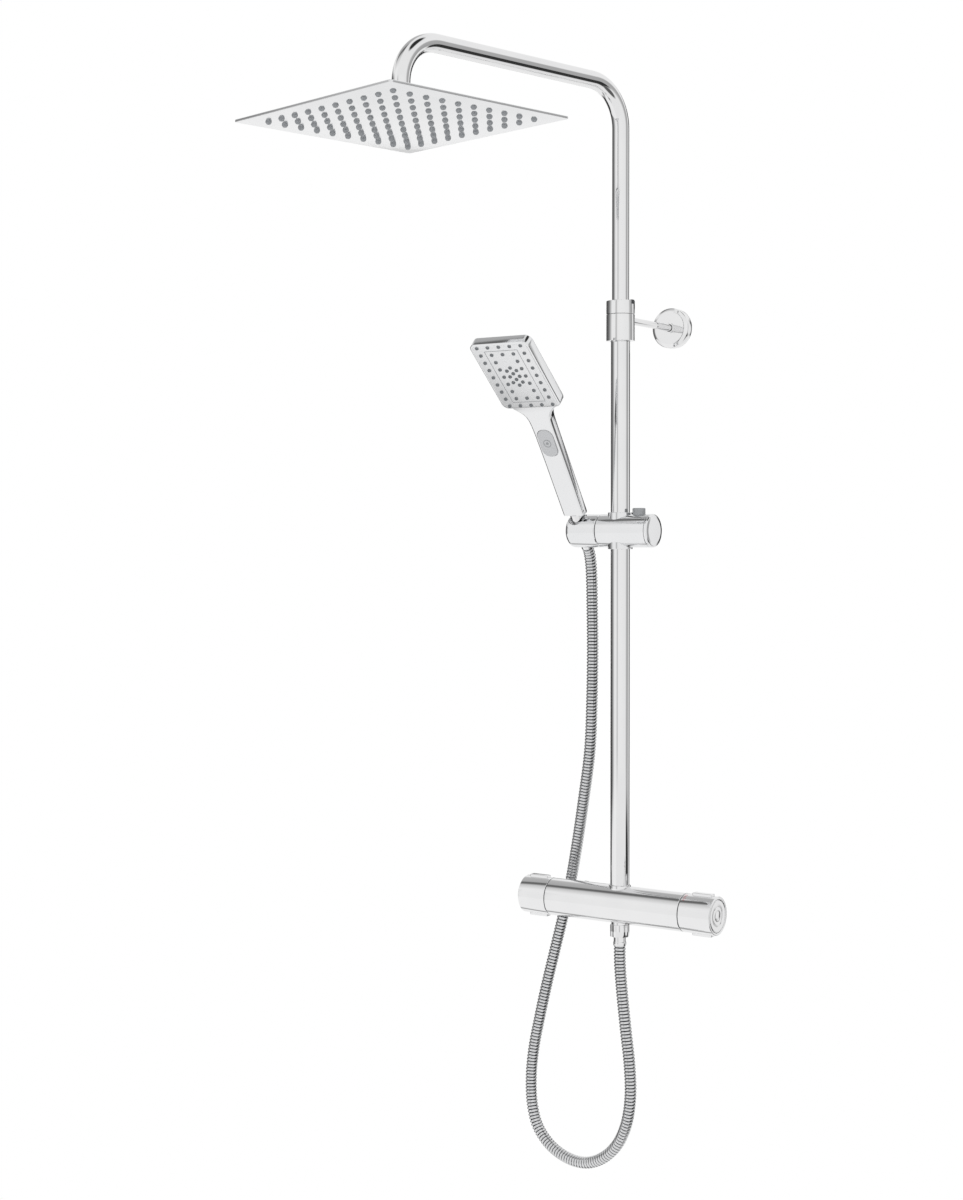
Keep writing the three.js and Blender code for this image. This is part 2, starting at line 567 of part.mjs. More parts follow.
function addStay(parent) {
  const front = WALL_REACH - FLANGE_THICK;
  const plateFront = WALL_REACH - PLATE_THICK;
  const inside = front + FLANGE_WALL;
  const rodEnd = plateFront - GAP;
  const screwFront = rodEnd - STAY_THREAD;
  const headBack = WALL_REACH - SCREW_HEAD_DEPTH;
  const rod = turned([
    [0, RISER_R + 2 * GAP], [STAY_R, RISER_R + 2 * GAP], [STAY_R, rodEnd],
    [STAY_SCREW_R + GAP, rodEnd], [STAY_SCREW_R + GAP, screwFront - GAP], [0, screwFront - GAP],
  ], SMALL_ROUND);
  add(parent, 'bracket_rod', alongY(rod), CHROME);
  const flange = turned([
    [STAY_R + GAP, front], [FLANGE_R - 1, front], [FLANGE_R, front + 1],
    [FLANGE_R, WALL_REACH - GAP], [FLANGE_R - FLANGE_WALL, WALL_REACH - GAP],
    [FLANGE_R - FLANGE_WALL, inside], [STAY_R + GAP, inside],
  ]);
  add(parent, 'wall_flange', alongY(flange), CHROME);
  const plateR = FLANGE_R - FLANGE_WALL - GAP;
  const bossR = STAY_R + PLATE_BOSS_WALL;
  const plate = turned([
    [STAY_SCREW_R + GAP, plateFront], [STAY_R + GAP, plateFront], [STAY_R + GAP, inside + 3],
    [bossR, inside + 3], [bossR, plateFront], [plateR, plateFront], [plateR, WALL_REACH],
    [STAY_R + GAP, WALL_REACH], [STAY_R + GAP, headBack], [STAY_SCREW_R + GAP, headBack],
  ], MID_ROUND);
  const screwHole = alongY(disc(PLATE_HOLE_R, plateFront - CUT, WALL_REACH + CUT, 12));
  const holes = [-1, 1].map((side) => moved(screwHole, 0, 0, side * PLATE_HOLE_PLACE));
  add(parent, 'wall_plate', cut(alongY(plate), ...holes), STEEL);
  const headFront = headBack + GAP;
  const screw = turned([
    [0, screwFront], [STAY_SCREW_R, screwFront], [STAY_SCREW_R, headFront],
    [STAY_R, headFront], [STAY_R, WALL_REACH - GAP], [0, WALL_REACH - GAP],
  ], 12);
  add(parent, 'rod_screw', alongY(screw), STEEL);
}

// ---------------------------------------------------------------- arm and rain head
function armPath() {
  const stops = [];
  const stop = (y, z, dy, dz) => {
    stops.push({ point: new THREE.Vector3(0, y, z), along: new THREE.Vector3(0, dy, dz) });
  };
  stop(0, ARM_FOOT, 0, 1);
  const shoulder = ARM_HEIGHT - ARM_BEND;
  for (let i = 0; i <= BEND_STEPS; i += 1) {
    const turn = ((i / BEND_STEPS) * Math.PI) / 2;
    const [c, s] = [Math.cos(turn), Math.sin(turn)];
    stop(-ARM_BEND * (1 - c), shoulder + ARM_BEND * s, -s, c);
  }
  for (let i = 0; i <= BEND_STEPS; i += 1) {
    const turn = ((i / BEND_STEPS) * Math.PI) / 2;
    const [c, s] = [Math.cos(turn), Math.sin(turn)];
    stop(-ARM_REACH + ARM_BEND - ARM_BEND * s, shoulder + ARM_BEND * c, -c, -s);
  }
  stop(-ARM_REACH, ARM_TIP, 0, -1);
  return new Stations(stops);
}

function addArm(parent) {
  const path = armPath();
  add(parent, 'arm_tube', pipe(path, path.stops.length - 1, ARM_R, ARM_BORE_R), CHROME);
  const top = ARM_FOOT - GAP;
  const grooveR = PLUG_R - GROOVE_DEPTH;
  const grooveTop = top - GROOVE_PLACE;
  const grooveLow = grooveTop - GROOVE_WIDTH;
  const plug = turned([
    [PLUG_BORE_R, top - PLUG_BELOW], [PLUG_R, top - PLUG_BELOW], [PLUG_R, grooveLow],
    [grooveR, grooveLow], [grooveR, grooveTop], [PLUG_R, grooveTop], [PLUG_R, top],
    [ARM_BORE_R - GAP, top], [ARM_BORE_R - GAP, top + PLUG_ABOVE], [PLUG_BORE_R, top + PLUG_ABOVE],
  ], MID_ROUND);
  add(parent, 'arm_plug', plug, WHITE_PLASTIC);
  const seal = ring(PLUG_R, grooveR + GAP, grooveLow + GAP, grooveTop - GAP, MID_ROUND);
  add(parent, 'arm_seal', seal, RUBBER);
  const tip = group(parent, 0, -ARM_REACH, 0);
  addBallJoint(tip);
  addRainHead(tip);
}

function arcPoints(radius, height, from, to, steps) {
  return Array.from({ length: steps + 1 }, (_, i) => {
    const angle = THREE.MathUtils.degToRad(from + ((to - from) * i) / steps);
    return [radius * Math.cos(angle), height + radius * Math.sin(angle)];
  });
}

const degreesAt = (r, radius) => THREE.MathUtils.radToDeg(Math.acos(r / radius));

function addBallJoint(parent) {
  const low = -degreesAt(BALL_BORE_R, BALL_R);
  const high = degreesAt(BALL_NECK_R, BALL_R);
  const ball = turned([
    ...arcPoints(BALL_R, BALL_HEIGHT, low, high, 6),
    [BALL_NECK_R, ARM_TIP - BALL_FLANGE], [ARM_R, ARM_TIP - BALL_FLANGE], [ARM_R, ARM_TIP - GAP],
    [ARM_BORE_R - GAP, ARM_TIP - GAP], [ARM_BORE_R - GAP, ARM_TIP + BALL_PLUG],
    [BALL_BORE_R, ARM_TIP + BALL_PLUG],
  ], MID_ROUND);
  add(parent, 'swivel_ball', ball, CHROME);
  const ringInner = BALL_R + GAP;
  const bearing = turned([
    ...arcPoints(ringInner, BALL_HEIGHT, -35, 25, 3),
    ...arcPoints(ringInner + BALL_RING_WALL, BALL_HEIGHT, 25, -35, 3),
  ], MID_ROUND);
  add(parent, 'ball_ring', bearing, WHITE_PLASTIC);
  const shoulder = BOSS_TOP + GAP;
  const start = THREE.MathUtils.radToDeg(Math.asin((shoulder - BALL_HEIGHT) / CUP_R));
  const nut = turned([
    ...arcPoints(CUP_R, BALL_HEIGHT, start, degreesAt(HEAD_MOUTH_R, CUP_R), 3),
    [HEAD_MOUTH_R, HEAD_NUT_TOP], [HEAD_NUT_R - HEAD_NUT_CHAMFER, HEAD_NUT_TOP],
    [HEAD_NUT_R, HEAD_NUT_TOP - HEAD_NUT_CHAMFER], [HEAD_NUT_R, HEAD_NUT_FOOT],
    [BOSS_R + GAP, HEAD_NUT_FOOT], [BOSS_R + GAP, shoulder],
  ], MID_ROUND);
  add(parent, 'head_nut', nut, CHROME);
}

// A flat-topped pyramid with upright edges: side at the base, crown at the top.
function pyramid(side, crown, low, edge, top) {
  const square = (s, z) => [[s, s, z], [-s, s, z], [-s, -s, z], [s, -s, z]];
  return loft([square(side / 2, low), square(side / 2, edge), square(crown / 2, top)]);
}

function addRainHead(parent) {
  const faceTop = HEAD_BOTTOM + FACE_THICK;
  const inside = HEAD_SIDE - 2 * RIM_WIDTH;
  const plate = cut(
    slab(HEAD_SIDE, HEAD_SIDE, 3, HEAD_BOTTOM, HEAD_BOTTOM + RIM_HEIGHT),
    slab(inside, inside, 2, faceTop, HEAD_BOTTOM + RIM_HEIGHT + CUT),
  );
  add(parent, 'head_face_plate', plate, STEEL);
  const matLow = faceTop + GAP;
  const matSide = HEAD_SIDE - 2 * MAT_MARGIN;
  add(parent, 'head_nozzle_mat', slab(matSide, matSide, 2, matLow, matLow + MAT_THICK), SILICONE);
  const shellSide = inside - 2 * GAP - 1;
  const hollowSide = shellSide - 2 * SHELL_WALL;
  const low = faceTop + GAP;
  const edge = SHELL_TOP - SHELL_EDGE;
  const outer = pyramid(shellSide, SHELL_CROWN, low, edge, SHELL_TOP);
  const hollowEdge = edge - SHELL_WALL;
  const hollowTop = SHELL_TOP - SHELL_WALL;
  const hollow = pyramid(hollowSide, SHELL_CROWN, low - CUT, hollowEdge, hollowTop);
  const boss = disc(BOSS_R, SHELL_TOP - 1, BOSS_TOP);
  const cup = disc(CUP_R, SHELL_TOP + 0.5, BOSS_TOP + CUT);
  const passage = disc(WATERWAY_R, low, BOSS_TOP, SMALL_ROUND);
  add(parent, 'head_top_shell', cut(join(cut(outer, hollow), boss), cup, passage), STEEL);
}

// ---------------------------------------------------------------- slider and holder
function sliderBush(side) {
  const inner = RISER_R + GAP;
  const bush = turned([
    [inner, GAP / 2], [BUSH_R, GAP / 2], [BUSH_R, BUSH_COLLAR_BASE], [BUSH_COLLAR_R, BUSH_COLLAR_BASE],
    [BUSH_COLLAR_R, BUSH_HALF], [inner, BUSH_HALF],
  ]);
  return side > 0 ? bush : bush.mirror([0, 0, 1]);
}

function sliderBody() {
  const barrel = alongX(disc(SLIDER_R, -SLIDER_LEFT, SLIDER_RIGHT));
  const bore = disc(BUSH_R + GAP, -SLIDER_R - CUT, SLIDER_R + CUT);
  const seat = disc(BUSH_COLLAR_R + GAP, BUSH_COLLAR_BASE - GAP, SLIDER_R + CUT);
  const well = moved(disc(BUTTON_R + GAP, BUTTON_WELL, SLIDER_R + CUT, MID_ROUND), BUTTON_X, 0, 0);
  const left = -SLIDER_LEFT - CUT;
  const washerFloor = -SLIDER_LEFT + WASHER_THICK + GAP;
  const washerSeat = alongX(disc(WASHER_R + GAP, left, washerFloor, MID_ROUND));
  const pinHole = alongX(disc(PIN_R + GAP, left, 0, SMALL_ROUND));
  const capSeatStart = SLIDER_RIGHT - SLIDER_CAP_PLUG - GAP;
  const capSeatR = SLIDER_R - SLIDER_CAP_LAND;
  const capSeat = alongX(disc(capSeatR, capSeatStart, SLIDER_RIGHT + CUT, MID_ROUND));
  const pocketHalf = [-SHOE_HALF - GAP, SHOE_HALF + GAP];
  const pocket = block([0, SHOE_INNER + SHOE_THICK + 0.4], pocketHalf, pocketHalf);
  return cut(barrel, bore, seat, seat.mirror([0, 0, 1]), well, washerSeat, pinHole, capSeat, pocket);
}

function sliderCap() {
  const face = SLIDER_RIGHT + GAP;
  const end = face + SLIDER_CAP_THICK;
  const plugR = SLIDER_R - SLIDER_CAP_LAND - GAP;
  return alongX(turned([
    [0, face - SLIDER_CAP_PLUG], [plugR, face - SLIDER_CAP_PLUG], [plugR, face], [SLIDER_R, face],
    [SLIDER_R, end - SLIDER_CAP_ROUND], [SLIDER_R - SLIDER_CAP_ROUND, end], [0, end],
  ]));
}

function releaseButton() {
  return moved(turned([
    [0, BUTTON_FOOT], [BUTTON_R, BUTTON_FOOT], [BUTTON_R, BUTTON_TOP - 1],
    [BUTTON_R - 1, BUTTON_TOP], [0, BUTTON_TOP],
  ], MID_ROUND), BUTTON_X, 0, 0);
}

function buttonSpring() {
  const low = BUTTON_WELL + GAP + SPRING_WIRE_R;
  const high = BUTTON_FOOT - GAP - SPRING_WIRE_R;
  const points = Array.from({ length: SPRING_TURNS * 8 + 1 }, (_, i) => {
    const turn = (i * Math.PI) / 4;
    const z = low + ((high - low) * i) / (SPRING_TURNS * 8);
    return new THREE.Vector3(BUTTON_X + SPRING_R * Math.cos(turn), SPRING_R * Math.sin(turn), z);
  });
  const path = new THREE.CatmullRomCurve3(points);
  return pipe(path, SPRING_TURNS * 8, SPRING_WIRE_R, 0, 3);
}

// The cone nut's radius at a place along the socket's axis.
function coneRadius(along) {
  const share = (along - CONE_BOTTOM) / (CONE_TOP - CONE_BOTTOM);
  return CONE_BOTTOM_R + (CONE_TOP_R - CONE_BOTTOM_R) * share;
}

function holder() {
  const [right, left] = [-SLIDER_LEFT - GAP, -HOLDER_LEFT];
  const rim = arcPoints(HOLDER_ROUND, 0, 0, 90, 4).map(([r, z]) => [SLIDER_R - HOLDER_ROUND + r, z]);
  const barrel = alongX(turned([
    [0, right], [SLIDER_R, right], ...rim.map(([r, z]) => [r, left + HOLDER_ROUND - z]), [0, left],
  ]));
  const reach = 1.5 * SLIDER_R;
  const hole = turned([
    [0, -reach], [coneRadius(-reach) + SOCKET_CLEARANCE, -reach],
    [coneRadius(reach) + SOCKET_CLEARANCE, reach], [0, reach],
  ]);
  const pinHoleEnd = right - PIN_IN_HOLDER - GAP;
  const pinHole = alongX(disc(PIN_R + GAP, pinHoleEnd, right + CUT, SMALL_ROUND));
  return cut(barrel, moved(hole.rotate([SOCKET_TILT, 0, 0]), HOLDER_X, 0, 0), pinHole);
}

function addSlider(parent) {
  add(parent, 'slider_body', sliderBody(), CHROME);
  add(parent, 'slider_bush_upper', sliderBush(1), DARK_PLASTIC);
  add(parent, 'slider_bush_lower', sliderBush(-1), DARK_PLASTIC);
  add(parent, 'slider_end_cap', sliderCap(), CHROME);
  const shoeHalf = [-SHOE_HALF, SHOE_HALF];
  const shoe = block([SHOE_INNER, SHOE_INNER + SHOE_THICK], shoeHalf, shoeHalf);
  add(parent, 'clamp_shoe', shoe, DARK_PLASTIC);
  add(parent, 'button_spring', buttonSpring(), STEEL);
  add(parent, 'release_button', releaseButton(), CHROME);
  const washerLeft = -SLIDER_LEFT;
  const washer = alongX(ring(WASHER_R, PIN_R + 2 * GAP, washerLeft, washerLeft + WASHER_THICK, MID_ROUND));
  add(parent, 'friction_washer', washer, DARK_PLASTIC);
  add(parent, 'handset_holder', holder(), CHROME);
  const pinRight = -SLIDER_LEFT + PIN_IN_SLIDER;
  const pin = alongX(disc(PIN_R, -SLIDER_LEFT - PIN_IN_HOLDER, pinRight, SMALL_ROUND));
  add(parent, 'holder_pin', pin, STEEL);
}

// ---------------------------------------------------------------- handset, in its socket's frame
function addHoseEnd(parent) {
  const flangeTop = THREAD_FOOT - 2 * GAP - HOSE_WASHER_THICK;
  const lipTop = flangeTop - NUT_LIP - GAP;
  const nut = turned([
    [THREAD_R + GAP, CONE_TOP], [THREAD_R + GAP, lipTop], [FERRULE_R + GAP, lipTop],
    [FERRULE_R + GAP, CONE_BOTTOM], [CONE_BOTTOM_R, CONE_BOTTOM], [CONE_TOP_R, CONE_TOP],
  ]);
  add(parent, 'hose_cone_nut', nut, CHROME);
  const ferrule = turned([
    [FERRULE_BORE_R, FERRULE_END], [FERRULE_R, FERRULE_END], [FERRULE_R, flangeTop - NUT_LIP],
    [FERRULE_FLANGE_R, flangeTop - NUT_LIP], [FERRULE_FLANGE_R, flangeTop],
    [FERRULE_BORE_R, flangeTop],
  ], MID_ROUND);
  add(parent, 'hose_ferrule_upper', ferrule, CHROME);
  const connector = turned([
    [FERRULE_BORE_R, THREAD_FOOT], [THREAD_R, THREAD_FOOT], [THREAD_R, CONE_TOP + CUT],
    [NECK_R, CONE_TOP + 2 * CUT], [NECK_R, HANDLE_BASE - GAP], [FERRULE_BORE_R, HANDLE_BASE - GAP],
  ], MID_ROUND);
  add(parent, 'handset_connector', connector, CHROME);
}

// One cross-section of the handset: a box whose corners are sharper as the power grows.
function section(width, depth, power, centreY, centreZ, lean) {
  const turn = THREE.MathUtils.degToRad(lean);
  const [c, s] = [Math.cos(turn), Math.sin(turn)];
  return Array.from({ length: SECTION_POINTS }, (_, i) => {
    const angle = ((i + 0.5) / SECTION_POINTS) * 2 * Math.PI;
    const flat = (v) => Math.sign(v) * Math.abs(v) ** (2 / power);
    const [x, y] = [(width / 2) * flat(Math.cos(angle)), (depth / 2) * flat(Math.sin(angle))];
    return [x, centreY + y * c, centreZ + y * s];
  });
}

// The place on the spray head's mid plane, a distance up from its foot.
function headPlace(up) {
  const turn = THREE.MathUtils.degToRad(HEAD_LEAN);
  return [HEAD_FOOT_Y - up * Math.sin(turn), HEAD_FOOT_Z + up * Math.cos(turn)];
}

function handsetShape() {
  const low = (z, width, depth, y, power, lean) => section(width, depth, power, y, z, lean);
  const handleRings = [
    low(HANDLE_BASE, 25.5, 9, -0.8, 6, 0),
    low(HANDLE_BASE + 1.5, 29, 11.4, -0.8, 6, 0),
    low(100, 29, 11.8, -1.1, 6, 0),
    low(148, 30, 12.4, -1.8, 6, 2),
    low(162, 32.5, 12.4, -3, 6, 6),
    low(170, 44, 12.4, -4, 6, 10),
  ];
  const edge = (angle) => HEAD_WIDTH - 2 * HEAD_CORNER * (1 - Math.sin(angle));
  const headRings = [];
  const head = (up, width) => {
    const [y, z] = headPlace(up);
    headRings.push(section(width, HEAD_DEPTH, 9, y, z, HEAD_LEAN));
  };
  for (const angle of [0, 0.35, 0.75, 1.57]) {
    head(HEAD_CORNER * (1 - Math.cos(angle)), edge(angle));
  }
  for (const angle of [1.57, 0.75, 0.35, 0]) {
    head(HEAD_LENGTH - HEAD_CORNER * (1 - Math.cos(angle)), edge(angle));
  }
  return loft([...handleRings, ...headRings]);
}

// A solid drawn flat in X and Z with its depth along -Y, laid on the spray face.
function onFace(body) {
  const [y, z] = headPlace(HEAD_LENGTH / 2);
  return moved(body.rotate([90 + HEAD_LEAN, 0, 0]), 0, y, z);
}

function addHandset(parent) {
  const face = HEAD_DEPTH / 2;
  const [width, length] = [HEAD_WIDTH - 2 * FACE_MARGIN, HEAD_LENGTH - 2 * FACE_MARGIN];
  const corner = HEAD_CORNER - FACE_MARGIN;
  const recess = onFace(slab(width, length, corner, face - HANDSET_RECESS, face + CUT));
  const waterway = disc(HANDSET_BORE_R, HANDLE_BASE - CUT, NECK_Z, SMALL_ROUND);
  const link = moved(
    disc(LINK_R, -LINK_R, LINK_END - NECK_Z, SMALL_ROUND).rotate([HEAD_LEAN, 0, 0]),
    0, -LINK_R, NECK_Z,
  );
  const shell = cut(handsetShape(), recess, waterway, link, modeButtonWell());
  add(parent, 'handset_shell', shell, CHROME);
  const [w, l, c] = [width - 2 * GAP, length - 2 * GAP, corner - GAP];
  const plateBack = face - HANDSET_FACE_THICK;
  add(parent, 'handset_face_plate', onFace(slab(w, l, c, plateBack, face)), CHROME);
  const matFront = plateBack - GAP;
  const matBack = matFront - HANDSET_MAT_THICK;
  const mat = onFace(slab(w - 2 * MAT_INSET, l - 2 * MAT_INSET, c, matBack, matFront));
  add(parent, 'handset_nozzle_mat', mat, SILICONE);
  const selectorBack = face - HANDSET_RECESS + GAP;
  const [sw, sl] = [w - 2 * SELECTOR_INSET, l - 2 * SELECTOR_INSET];
  add(parent, 'spray_selector', onFace(slab(sw, sl, c, selectorBack, matBack - GAP)), WHITE_PLASTIC);
  add(parent, 'mode_button', modeButton(), CHROME);
}

// An upright oval prism, laid square to the handle's front, from one depth to another.
function oval(width, length, from, to) {
  const prism = slab(width, length, width / 2 - 0.01, from, to, 6);
  return moved(prism.rotate([90 + HANDLE_FRONT_LEAN, 0, 0]), 0, 0, MODE_BUTTON_Z);
}

const modeButton = () =>
  oval(MODE_BUTTON_WIDTH, MODE_BUTTON_LENGTH, MODE_BUTTON_FACE - MODE_BUTTON_DEPTH, MODE_BUTTON_FACE);

function modeButtonWell() {
  const floor = MODE_BUTTON_FACE - MODE_BUTTON_DEPTH - MODE_BUTTON_TRAVEL - GAP;
  return oval(MODE_BUTTON_WIDTH + 2 * GAP, MODE_BUTTON_LENGTH + 2 * GAP, floor, MODE_BUTTON_FACE + MODE_WELL_OPEN);
}

// ---------------------------------------------------------------- hose
function hose() {
  const path = new THREE.CatmullRomCurve3(HOSE_ROUTE.map((p) => new THREE.Vector3(...p)));
  return pipe(path, HOSE_STEPS, HOSE_R, 0, 5);
}

// ---------------------------------------------------------------- assembly
addMixer(column);
addOutlet(column);
addRiser(column);
addBracket(column);
const arm = group(column, 0, 0, 0);
arm.rotation.z = THREE.MathUtils.degToRad(ARM_TURN);
addArm(arm);
addSlider(group(column, 0, 0, SLIDER_HEIGHT));
const socketFrame = group(column, HOLDER_X, 0, SLIDER_HEIGHT);
socketFrame.rotation.x = THREE.MathUtils.degToRad(SOCKET_TILT);
addHoseEnd(socketFrame);
addHandset(socketFrame);
add(column, 'hose', hose(), STEEL);

const root = new THREE.Group();
root.add(column);

export default root;
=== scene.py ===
"""Looks of the rainfall shower column: chrome tubes, mixer, rain head, slider, handset and metal hose.

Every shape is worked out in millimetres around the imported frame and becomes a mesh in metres.
"""

import json
import logging
from collections.abc import Iterable, Sequence
from dataclasses import dataclass
from enum import Enum
from math import atan2, ceil, cos, pi, radians, sin

import bmesh
import bpy
from mathutils import Matrix, Vector

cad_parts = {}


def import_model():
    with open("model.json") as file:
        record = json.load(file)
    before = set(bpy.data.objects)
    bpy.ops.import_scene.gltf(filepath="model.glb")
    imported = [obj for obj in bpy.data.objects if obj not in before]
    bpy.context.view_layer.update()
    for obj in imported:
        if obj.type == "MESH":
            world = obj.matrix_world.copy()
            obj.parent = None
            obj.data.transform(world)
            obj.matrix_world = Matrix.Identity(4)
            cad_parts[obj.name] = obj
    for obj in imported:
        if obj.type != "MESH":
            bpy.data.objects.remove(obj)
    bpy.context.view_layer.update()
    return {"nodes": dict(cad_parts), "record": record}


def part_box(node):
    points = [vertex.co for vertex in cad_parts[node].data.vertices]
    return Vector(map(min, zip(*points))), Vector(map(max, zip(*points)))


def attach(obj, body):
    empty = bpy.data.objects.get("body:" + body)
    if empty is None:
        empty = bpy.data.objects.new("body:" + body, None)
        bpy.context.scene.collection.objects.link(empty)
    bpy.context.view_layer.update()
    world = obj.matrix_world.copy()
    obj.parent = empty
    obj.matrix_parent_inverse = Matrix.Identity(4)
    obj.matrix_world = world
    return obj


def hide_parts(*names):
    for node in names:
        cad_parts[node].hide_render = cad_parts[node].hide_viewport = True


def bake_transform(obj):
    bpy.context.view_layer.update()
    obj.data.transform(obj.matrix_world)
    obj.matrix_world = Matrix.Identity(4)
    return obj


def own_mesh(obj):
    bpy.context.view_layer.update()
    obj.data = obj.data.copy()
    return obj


logging.basicConfig(level=logging.INFO, format="%(message)s")
LOG = logging.getLogger("shower_column")

MM = 0.001
# Points closer than this, in metres, become one.
WELD = 1e-7
# A radius under this, in millimetres, is on the axis.
ON_AXIS = 1e-6
SMOOTH_ANGLE = radians(32)
BARREL_SIDES = 96
ROUND_SIDES = 72
SMALL_SIDES = 40
NOZZLE_SIDES = 12
# How far a dark ring of painted seam shade stands inside the barrels beside it.
SEAM_SHADE_INSET = 0.35
# The body that stands still: the mixer, the riser and the stay.
COLUMN = "mixer_and_riser"

Point = tuple[float, float, float]
Profile = Sequence[tuple[float, float]]
Outline = list[tuple[float, float]]


# ------------------------------------------------------------------------------------ frame helpers
def low(node: str) -> Vector:
    """The lowest corner of a CAD node, in millimetres."""
    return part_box(node)[0] / MM


def high(node: str) -> Vector:
    """The highest corner of a CAD node, in millimetres."""
    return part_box(node)[1] / MM


def middle(node: str) -> Vector:
    """The centre of a CAD node's box, in millimetres."""
    return (low(node) + high(node)) / 2


def along_x(centre: Vector) -> Matrix:
    """A placing that lays local +Z along +X, at a centre."""
    return Matrix.Translation(centre) @ Matrix.Rotation(pi / 2, 4, "Y")


def along_y(centre: Vector) -> Matrix:
    """A placing that lays local +Z along +Y, at a centre."""
    return Matrix.Translation(centre) @ Matrix.Rotation(-pi / 2, 4, "X")


# ------------------------------------------------------------------------------------ shapes
class Shape:
    """Points and faces in millimetres that can be placed and joined."""

    def __init__(self, points: Iterable[Point], faces: Iterable[Sequence[int]]) -> None:
        """Keeps the points as vectors and the faces as index lists."""
        self.points = [Vector(p) for p in points]
        self.faces = [tuple(f) for f in faces]

    def placed(self, matrix: Matrix) -> "Shape":
        """A copy moved by a matrix."""
        return Shape([tuple(matrix @ p) for p in self.points], self.faces)

    def moved(self, x: float, y: float, z: float) -> "Shape":
        """A copy moved by a step."""
        return self.placed(Matrix.Translation((x, y, z)))

    def mirrored_x(self) -> "Shape":
        """A copy mirrored across the plane X = 0; its normals are set when it becomes a mesh."""
        return Shape([(-p.x, p.y, p.z) for p in self.points], self.faces)

    def joined(self, *others: "Shape") -> "Shape":
        """Puts shapes together.

        Args:
            others: The shapes to add, in order.

        Returns:
            This shape and the others as one.
        """
        points, faces = list(self.points), list(self.faces)
        for other in others:
            start = len(points)
            points += other.points
            faces += [tuple(start + i for i in f) for f in other.faces]
        return Shape([tuple(p) for p in points], faces)

    def mesh(self, name: str) -> bpy.types.Object:
        """Makes a mesh object with merged points and outward faces.

        Args:
            name: The object's name.

        Returns:
            The new object, linked to the scene, with its place in its mesh.
        """
        data = bpy.data.meshes.new(name)
        data.from_pydata([tuple(p * MM) for p in self.points], [], self.faces)
        work = bmesh.new()
        work.from_mesh(data)
        bmesh.ops.remove_doubles(work, verts=work.verts, dist=WELD)
        bmesh.ops.recalc_face_normals(work, faces=work.faces)
        work.to_mesh(data)
        work.free()
        made = bpy.data.objects.new(name, data)
        bpy.context.scene.collection.objects.link(made)
        return made


def eased(profile: Profile, radius: float, steps: int = 3, closed: bool = False) -> Outline:
    """Rounds the corners of a profile.

    Args:
        profile: Corner points.
        radius: How far each rounding reaches along its edges, limited to half an edge.
        steps: Segments of each rounding.
        closed: Whether the last point joins the first.

    Returns:
        The rounded profile's points.
    """
    points = [Vector((a, b, 0)) for a, b in profile]
    count = len(points)
    out: list[Vector] = []
    for i, corner in enumerate(points):
        if not closed and i in (0, count - 1):
            out.append(corner)
            continue
        before, after = points[i - 1] - corner, points[(i + 1) % count] - corner
        reach = min(radius, 0.49 * before.length, 0.49 * after.length)
        start, end = corner + before.normalized() * reach, corner + after.normalized() * reach
        for k in range(steps + 1):
            t = k / steps
            out.append(start * (1 - t) ** 2 + corner * (2 * t * (1 - t)) + end * t * t)
    return [(p.x, p.y) for p in out]


def drum(inner: float, outer: float, bottom: float, top: float) -> Profile:
    """A straight ring's profile, or a solid drum's where the inner radius is 0."""
    return [(inner, bottom), (outer, bottom), (outer, top), (inner, top)]


def lathe(profile: Profile, sides: int = ROUND_SIDES, edge: float = 0.0) -> Shape:
    """Turns a profile of (radius, height) about Z.

    Args:
        profile: From axis to axis, or a loop that stays off the axis.
        sides: Segments round the axis.
        edge: Rounding of its corners.

    Returns:
        The closed shape.
    """
    closed = profile[0][0] > ON_AXIS
    line = eased(profile, edge, closed=closed) if edge else list(profile)
    points: list[Point] = []
    rings: list[list[int]] = []
    for radius, height in line:
        if radius < ON_AXIS:
            rings.append([len(points)] * sides)
            points.append((0, 0, height))
            continue
        rings.append([len(points) + k for k in range(sides)])
        turns = [2 * pi * k / sides for k in range(sides)]
        points += [(radius * cos(t), radius * sin(t), height) for t in turns]
    following = rings[1:] + rings[:1] if closed else rings[1:]
    faces = []
    for a, b in zip(rings, following):
        for k in range(sides):
            n = (k + 1) % sides
            loop = list(dict.fromkeys([a[k], a[n], b[n], b[k]]))
            if len(loop) > 2:
                faces.append(loop)
    return Shape(points, faces)


def loft(rings: Sequence[Sequence[Point]]) -> Shape:
    """A closed skin over rings, with a flat face at each end.

    Args:
        rings: Rings in order, each with the same count of points.

    Returns:
        The closed shape.
    """
    count = len(rings[0])
    points = [p for ring in rings for p in ring]
    faces: list[Sequence[int]] = [list(range(count))[::-1]]
    for i in range(len(rings) - 1):
        for j in range(count):
            a, b = i * count + j, i * count + (j + 1) % count
            faces.append([a, b, b + count, a + count])
    faces.append([(len(rings) - 1) * count + j for j in range(count)])
    return Shape(points, faces)


def rounded_outline(width: float, length: float, corner: float, steps: int = 8) -> Outline:
    """A rounded rectangle, counterclockwise.

    Args:
        width: Size along X.
        length: Size along Y.
        corner: Radius of its corners.
        steps: Segments of each corner.

    Returns:
        Its (x, y) points.
    """
    corner = max(corner, 0.01)
    x, y = width / 2 - corner, length / 2 - corner
    out = []
    for quarter, (cx, cy) in enumerate(((x, y), (-x, y), (-x, -y), (x, -y))):
        for k in range(steps + 1):
            turn = (quarter + k / steps) * pi / 2
            out.append((cx + corner * cos(turn), cy + corner * sin(turn)))
    return out


